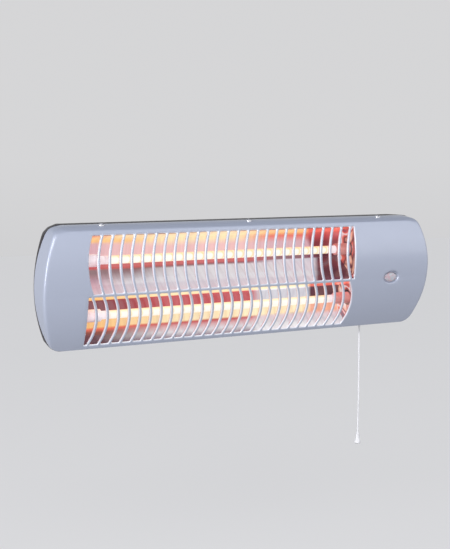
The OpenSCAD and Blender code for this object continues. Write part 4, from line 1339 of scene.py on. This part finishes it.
screws("phillips_cover", "cover_screws", 7, SEAT_OUT, [(x, *SEAT_MID) for x in (-192, 0, 192)])
screws("phillips_frame", "frame_screws", 6.7, REAR, four_spots(223.2, 158.2, BACK_Y, 38))
screws("phillips_switch", "switch_screws", 9.5, REAR, [(x, BACK_Y, -22) for x in (176, 192)])
screws("phillips_lugs", "lug_screws", 6, REAR, four_spots(117.4, 117.4, BACK_Y + LUG_T, 9))
screws(
    "phillips_block", "terminal_screws", 1.7, FRONT,
    [(BLOCK[0] + BLOCK_PITCH * i, *BLOCK[1:]) for i in (-1, 0, 1)], 0.66,
)


def winding(material, **sizes):
    """A coil along X made by the winding tree, whose first turn starts at x = 0."""
    coil = piece_object("winding", bpy.data.meshes.new("winding"), material)
    run_tree(coil, WINDING_TREE, material, **sizes)
    work = bmesh.new()
    take_mesh(work, coil)
    start = min(vert.co.x for vert in work.verts)
    bmesh.ops.translate(work, vec=(-start, 0, 0), verts=work.verts)
    return work


COIL_HALF = 156.4
COIL_R = 2.7
COIL_WIRE = 0.46
TAIL_END = 189.5


def heating_coil(row):
    """The close winding inside a tube, with its straight tails."""
    middle = (GRILLE_X, TUBE_Y, TUBE_Z[row])
    work = winding(
        MATERIALS["hot_wire"], Turns=142.0, Radius=COIL_R, Length=312.0, Wire_radius=COIL_WIRE,
        Steps_a_turn=14,
    )
    bmesh.ops.translate(work, vec=Vector(middle) - Vector((COIL_HALF, 0, 0)), verts=work.verts)
    for side in (-1, 1):
        tail = [(156, 0), (156, 0.6), (TAIL_END - 0.5, 0.6), (TAIL_END, 0.4), (TAIL_END, 0)]
        add_turned(work, [(side * x, radius) for x, radius in tail], "X", middle, 10)
        link = [(COIL_HALF - 1, 0), (COIL_HALF - 1, 2.9), (COIL_HALF, 2.9), (COIL_HALF, 0)]
        add_turned(work, rounded([(side * x, radius) for x, radius in link], 0.4), "X", middle, 16)
    finished_piece(work, "wound_coil_" + row, "heating_coil_" + row)


def quartz_tube(row):
    """A drawn quartz tube with fire-rounded ends."""
    work = bmesh.new()
    section = rounded([(0, 4), (-172, 4), (-172, QUARTZ_R), (172, QUARTZ_R), (172, 4), (0, 4)], 0.45)
    add_hollow(work, section[:-1], "X", (GRILLE_X, TUBE_Y, TUBE_Z[row]), 36)
    finished_piece(work, "drawn_tube_" + row, "quartz_tube_" + row)


def end_cap(side, row):
    """A stepped ceramic cap with its cup, flange and small bore."""
    work = bmesh.new()
    sign = SIDES[side]
    section = [
        (161, 5.6), (161, 7.4), (172, 7.5), (183.7, 7.5), (183.7, 10), (186.7, 10), (186.7, 7.5),
        (190.5, 7.2), (190.5, 0.8), (172.4, 0.8), (172.4, 5.05), (161, 5.1),
    ]
    section = rounded([section[-1], *section, section[0]], 0.5)[1:-1]
    add_hollow(work, [(sign * x, radius) for x, radius in section], "X", (GRILLE_X, TUBE_Y, TUBE_Z[row]), 36)
    finished_piece(work, f"stepped_cap_{row}_{side}", f"end_cap_{row}_{side}")


for row in TUBE_Z:
    heating_coil(row)
    quartz_tube(row)
    for side in SIDES:
        end_cap(side, row)

SPRING_WIRE = 0.45


def return_spring():
    """A coil spring under the slider."""
    low, high = node_box("return_spring")
    foot = Vector(((low.x + high.x) / 2, (low.y + high.y) / 2, low.z))
    tall = high.z - low.z
    work = winding(
        MATERIALS["spring_steel"], Turns=9.0, Radius=high.x - foot.x - SPRING_WIRE,
        Length=tall - 2 * SPRING_WIRE, Wire_radius=SPRING_WIRE, Steps_a_turn=24,
    )
    for vert in work.verts:
        vert.co = foot + Vector((vert.co.z, vert.co.y, vert.co.x))
    piece = finished_piece(work, "coil_spring", "return_spring")
    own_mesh(piece)


def cable_gland():
    """Rubber cord inlet with a flange on either side of the wall and a tail ribbed for strain relief."""
    wall = BACK_Y - node_box("cable_gland")[0].y
    outer = [(0.3, 4)]
    for at, start, neck in ((0, 4.3, 7), (wall, 7, 6.5)):
        outer += [(at, start), (at, 8.4), (at + 0.6, 9), (at + 2.4, 9), (at + 3, 8.4), (at + 3, neck)]
    for i in range(4):
        at = wall + 3.6 + 2 * i
        outer += [(at, 6.5), (at + 0.2, 5.5), (at + 0.9, 5.5), (at + 1.1, 6.4)]
    turned_piece("ribbed_gland", "cable_gland", "Y", outer, [(0.5, 6.2), (0, 5.7), (0, 4.3), (0.3, 4)])


def neon_lamp():
    """Small glass bulb with a drawn tip."""
    low, high = node_box("neon_lamp")
    radius = (high.x - low.x) / 2
    turned_piece(
        "neon_bulb", "neon_lamp", "Y",
        [(0, 0), (0.1, 0.35), (0.7, 0.7), (1.1, 1.6), (2, 2.5), (3.2, radius)],
        [(1.6, radius), (0.8, 2.5), (0, 2.3), (0, 0)], add_turned, 28, 0.4,
    )


def indicator_lens():
    """Domed oval window with a flange behind the panel."""
    low, high = node_box("indicator_lens")
    half_w, half_h = DISH[0] - 1.65, DISH[1] - 1.65
    front = low.y - 1.1
    flange = low.y + 2.6
    ovals = []
    for drop, share in (
        (0, 0.12), (0.03, 0.3), (0.13, 0.5), (0.3, 0.68), (0.56, 0.82), (0.9, 0.92), (1.3, 0.98), (1.9, 1),
    ):
        ovals.append((front + drop, half_w * share, half_h * share))
    for y, wider in ((flange, 0), (flange, 0.5), (flange + 0.15, 0.65), (high.y, 0.65), (high.y, -1.4)):
        ovals.append((y, half_w + wider, half_h + wider))
    work = bmesh.new()
    add_loops(work, [[oval_point(angle, *oval) for angle in ring_angles(56)] for oval in ovals], capped=True)
    finished_piece(work, "domed_lens", "indicator_lens")


return_spring()
turned_piece("flared_bush", "cord_bushing", "Z", [
    (1.4, 1.8), (0, 2.9), (0, 4.3), (1.2, 5), (2.4, 4.8), (2.4, 4), (4.9, 4), (5, 5.6), (5.4, 6), (6.6, 6),
    (7, 5.6), (7, 2.8), (5.6, 1.8),
], steps=40)
cable_gland()
neon_lamp()
turned_piece("lamp_socket", "lamp_holder", "Y", [
    (0.3, 3.1), (0, 3.3), (0, 4.3), (0.3, 4.6), (2, 4.6), (2.2, 4.2),
], [
    (3, 4.2), (2.8, 4.6), (0.4, 4.6), (0, 4.2), (0, 0.6), (1.5, 0.6), (1.5, 3.1),
], steps=32)
indicator_lens()

GRIPS = 8
GRIP_STEPS = 12
HOLLOW = 0.115  # depth of a hollow between two grips, as a share of the knob's radius
KNOB_LONG = 12
STUD_END = 121
PIVOT_Y = -19


def tilt_knob(side):
    """Moulded knob whose scalloped grip is one sector turned eight times, on its threaded stud."""
    node = "tilt_knob_" + side
    low, high = node_box(node)
    outer = max(abs(low.x), abs(high.x))
    sign = SIDES[side]
    head = outer - KNOB_LONG
    profile = [
        (head, 0.3), (head, 0.9), (head + 0.35, 0.96), (head + 1.6, 0.98), (head + 2.2, 1), (outer - 1.3, 1),
        (outer - 0.5, 0.965), (outer, 0.9), (outer, 0.78), (outer - 0.8, 0.74), (outer - 0.8, 0.35),
        (outer - 0.3, 0.3), (outer - 0.3, 0.02),
    ]
    rows = []
    for along, share in profile:
        row = []
        for k in range(GRIP_STEPS + 1):
            angle = math.pi / GRIPS * (2 * k / GRIP_STEPS - 1)
            across = math.sin(math.pi * k / GRIP_STEPS)
            hollow = HOLLOW * across ** 2 * ease(share, 0.8, 1.0) * ease(along, head + 1, head + 2.6)
            reach = high.z * (share - hollow)
            row.append((along * sign, *polar(reach, angle)))
        rows.append(row)
    sector = bmesh.new()
    add_grid(sector, rows)
    material = MATERIALS["black_plastic"]
    grip = piece_object("grip", mesh_from(sector, "grip"), material)
    run_tree(grip, COPIES_TREE, material, Count=GRIPS, Step=2 * math.pi / GRIPS)
    work = bmesh.new()
    take_mesh(work, grip)
    weld(work, 0.002)
    ends = [edge for edge in work.edges if edge.is_boundary]
    bmesh.ops.holes_fill(work, edges=ends, sides=0)
    stud = [(STUD_END, 0), (STUD_END, 2.2), (STUD_END + 0.8, 3)]
    for i in range(9):
        at = STUD_END + 1.4 + i
        stud += [(at, 2.6), (at + 0.3, 2.6), (at + 0.6, 3)]
    stud += [(STUD_END + 10.6, 2.95), (head + 0.4, 2.95), (head + 0.4, 0)]
    add_turned(work, [(sign * x, reach) for x, reach in stud], "X", (0, 0, 0), 24)
    bmesh.ops.translate(work, vec=(0, PIVOT_Y, 0), verts=work.verts)
    finished_piece(work, "scalloped_knob_" + side, node)


for side in SIDES:
    tilt_knob(side)

# ---- pressed, cut and moulded pieces: rounded copies of their CAD shape ----

EDGES = {
    "rear_housing": (0.9, 3), "wall_bracket": (0.35, 2), "pivot_nuts": (0.4, 2), "tilt_lug_left": (0.35, 2),
    "tilt_lug_right": (0.35, 2), "reflector_upper": (0.25, 2), "reflector_lower": (0.25, 2),
    "reflector_end_left": (0.2, 2), "reflector_end_right": (0.2, 2), "cap_rings": (0.15, 2),
    "tube_terminals": (0.12, 1), "thermal_cutout": (0.6, 3), "switch_case": (0.8, 3),
    "switch_terminals": (0.12, 1), "switch_slider": (0.5, 2), "ratchet_wheel": (0.3, 2),
    "wheel_axle": (0.25, 2), "terminal_block": (0.5, 2),
}
# The faces that look in this direction look towards the tubes and carry the painted reflections and glow.
LIT = {
    "reflector_upper": (0, -1, 0), "reflector_lower": (0, -1, 0), "reflector_end_left": (1, 0, 0),
    "reflector_end_right": (-1, 0, 0),
}
for node, (edge, segments) in EDGES.items():
    refined(node, edge, segments)
for node, inward in LIT.items():
    mesh = bpy.data.objects[node + "_shape"].data
    lit = mesh.attributes.new("lit", "FLOAT", "FACE")
    for face, mark in zip(mesh.polygons, lit.data):
        mark.value = face.normal.dot(Vector(inward)) > 0.2
for node in cad_nodes:
    if node.startswith("wire_"):
        refined(node, 0.02, 1, 50)

# ---- floor and light ----

WORLD_SHADES = (
    (0.0, (0.3, 0.3, 0.32)), (0.5, (0.67, 0.67, 0.68)), (0.6, (0.67, 0.67, 0.68)), (0.75, (0.4, 0.42, 0.46)),
    (1.0, (0.14, 0.15, 0.18)),
)
SEEN_WHITE = (0.93, 0.93, 0.94)
FLOOR_GLOW = 0.57
FLOOR_DROP = 0.31
FLOOR_REACH = 6.0


def add_world():
    """Soft light from all round, white at eye level and darker overhead."""
    world = bpy.data.worlds.new("studio")
    bpy.context.scene.world = world
    world.use_nodes = True
    tree = world.node_tree
    place = tree.nodes.new("ShaderNodeTexCoord")
    split = tree.nodes.new("ShaderNodeSeparateXYZ")
    height = tree.nodes.new("ShaderNodeMapRange")
    height.inputs["From Min"].default_value = -1
    ramp = tree.nodes.new("ShaderNodeValToRGB")
    fill_ramp(ramp, WORLD_SHADES)
    tree.links.new(place.outputs["Generated"], split.inputs["Vector"])
    tree.links.new(split.outputs["Z"], height.inputs["Value"])
    tree.links.new(height.outputs["Result"], ramp.inputs["Fac"])
    tree.links.new(ramp.outputs["Color"], tree.nodes["Background"].inputs["Color"])


def add_floor():
    """Plain pale floor under the hanging heater."""
    floor_z = cad_box[0][2] - FLOOR_DROP
    corners = [(-1, -1), (1, -1), (1, 1), (-1, 1)]
    work = bmesh.new()
    work.faces.new([work.verts.new((FLOOR_REACH * x, FLOOR_REACH * y, floor_z)) for x, y in corners])
    finish = Finish("floor", (0.24, 0.24, 0.25), 0.9, Emission_Color=(*SEEN_WHITE, 1))
    finish.mottle(3, 0.01)
    rays = finish.add("ShaderNodeLightPath").outputs
    first = finish.maths("MAXIMUM", rays["Is Camera Ray"], rays["Is Glossy Ray"])
    seen = finish.maths("MAXIMUM", first, rays["Is Transmission Ray"])
    finish.feed(finish.shader["Emission Strength"], finish.span(seen, 0, 1, 0, FLOOR_GLOW))
    piece_object("floor", mesh_from(work, "floor"), finish.material)


def add_lamp(name, spot, aim, size, power):
    data = bpy.data.lights.new(name, "AREA")
    data.shape = "RECTANGLE"
    data.size, data.size_y = size
    data.energy = power
    set_up(name, data, spot, Vector(aim) - Vector(spot))


add_world()
add_floor()
add_lamp("key", (-0.9, -1.6, 1.12), (0, 0, 0), (1.6, 0.5), 20)
add_lamp("left", (-1.9, -0.9, 0.25), (-0.1, -0.08, 0), (0.8, 1.1), 24)
add_lamp("front", (1.9, -2.0, 0.75), (0.1, 0, 0), (2.2, 2.0), 16)
bpy.context.scene.view_settings.view_transform = "Standard"
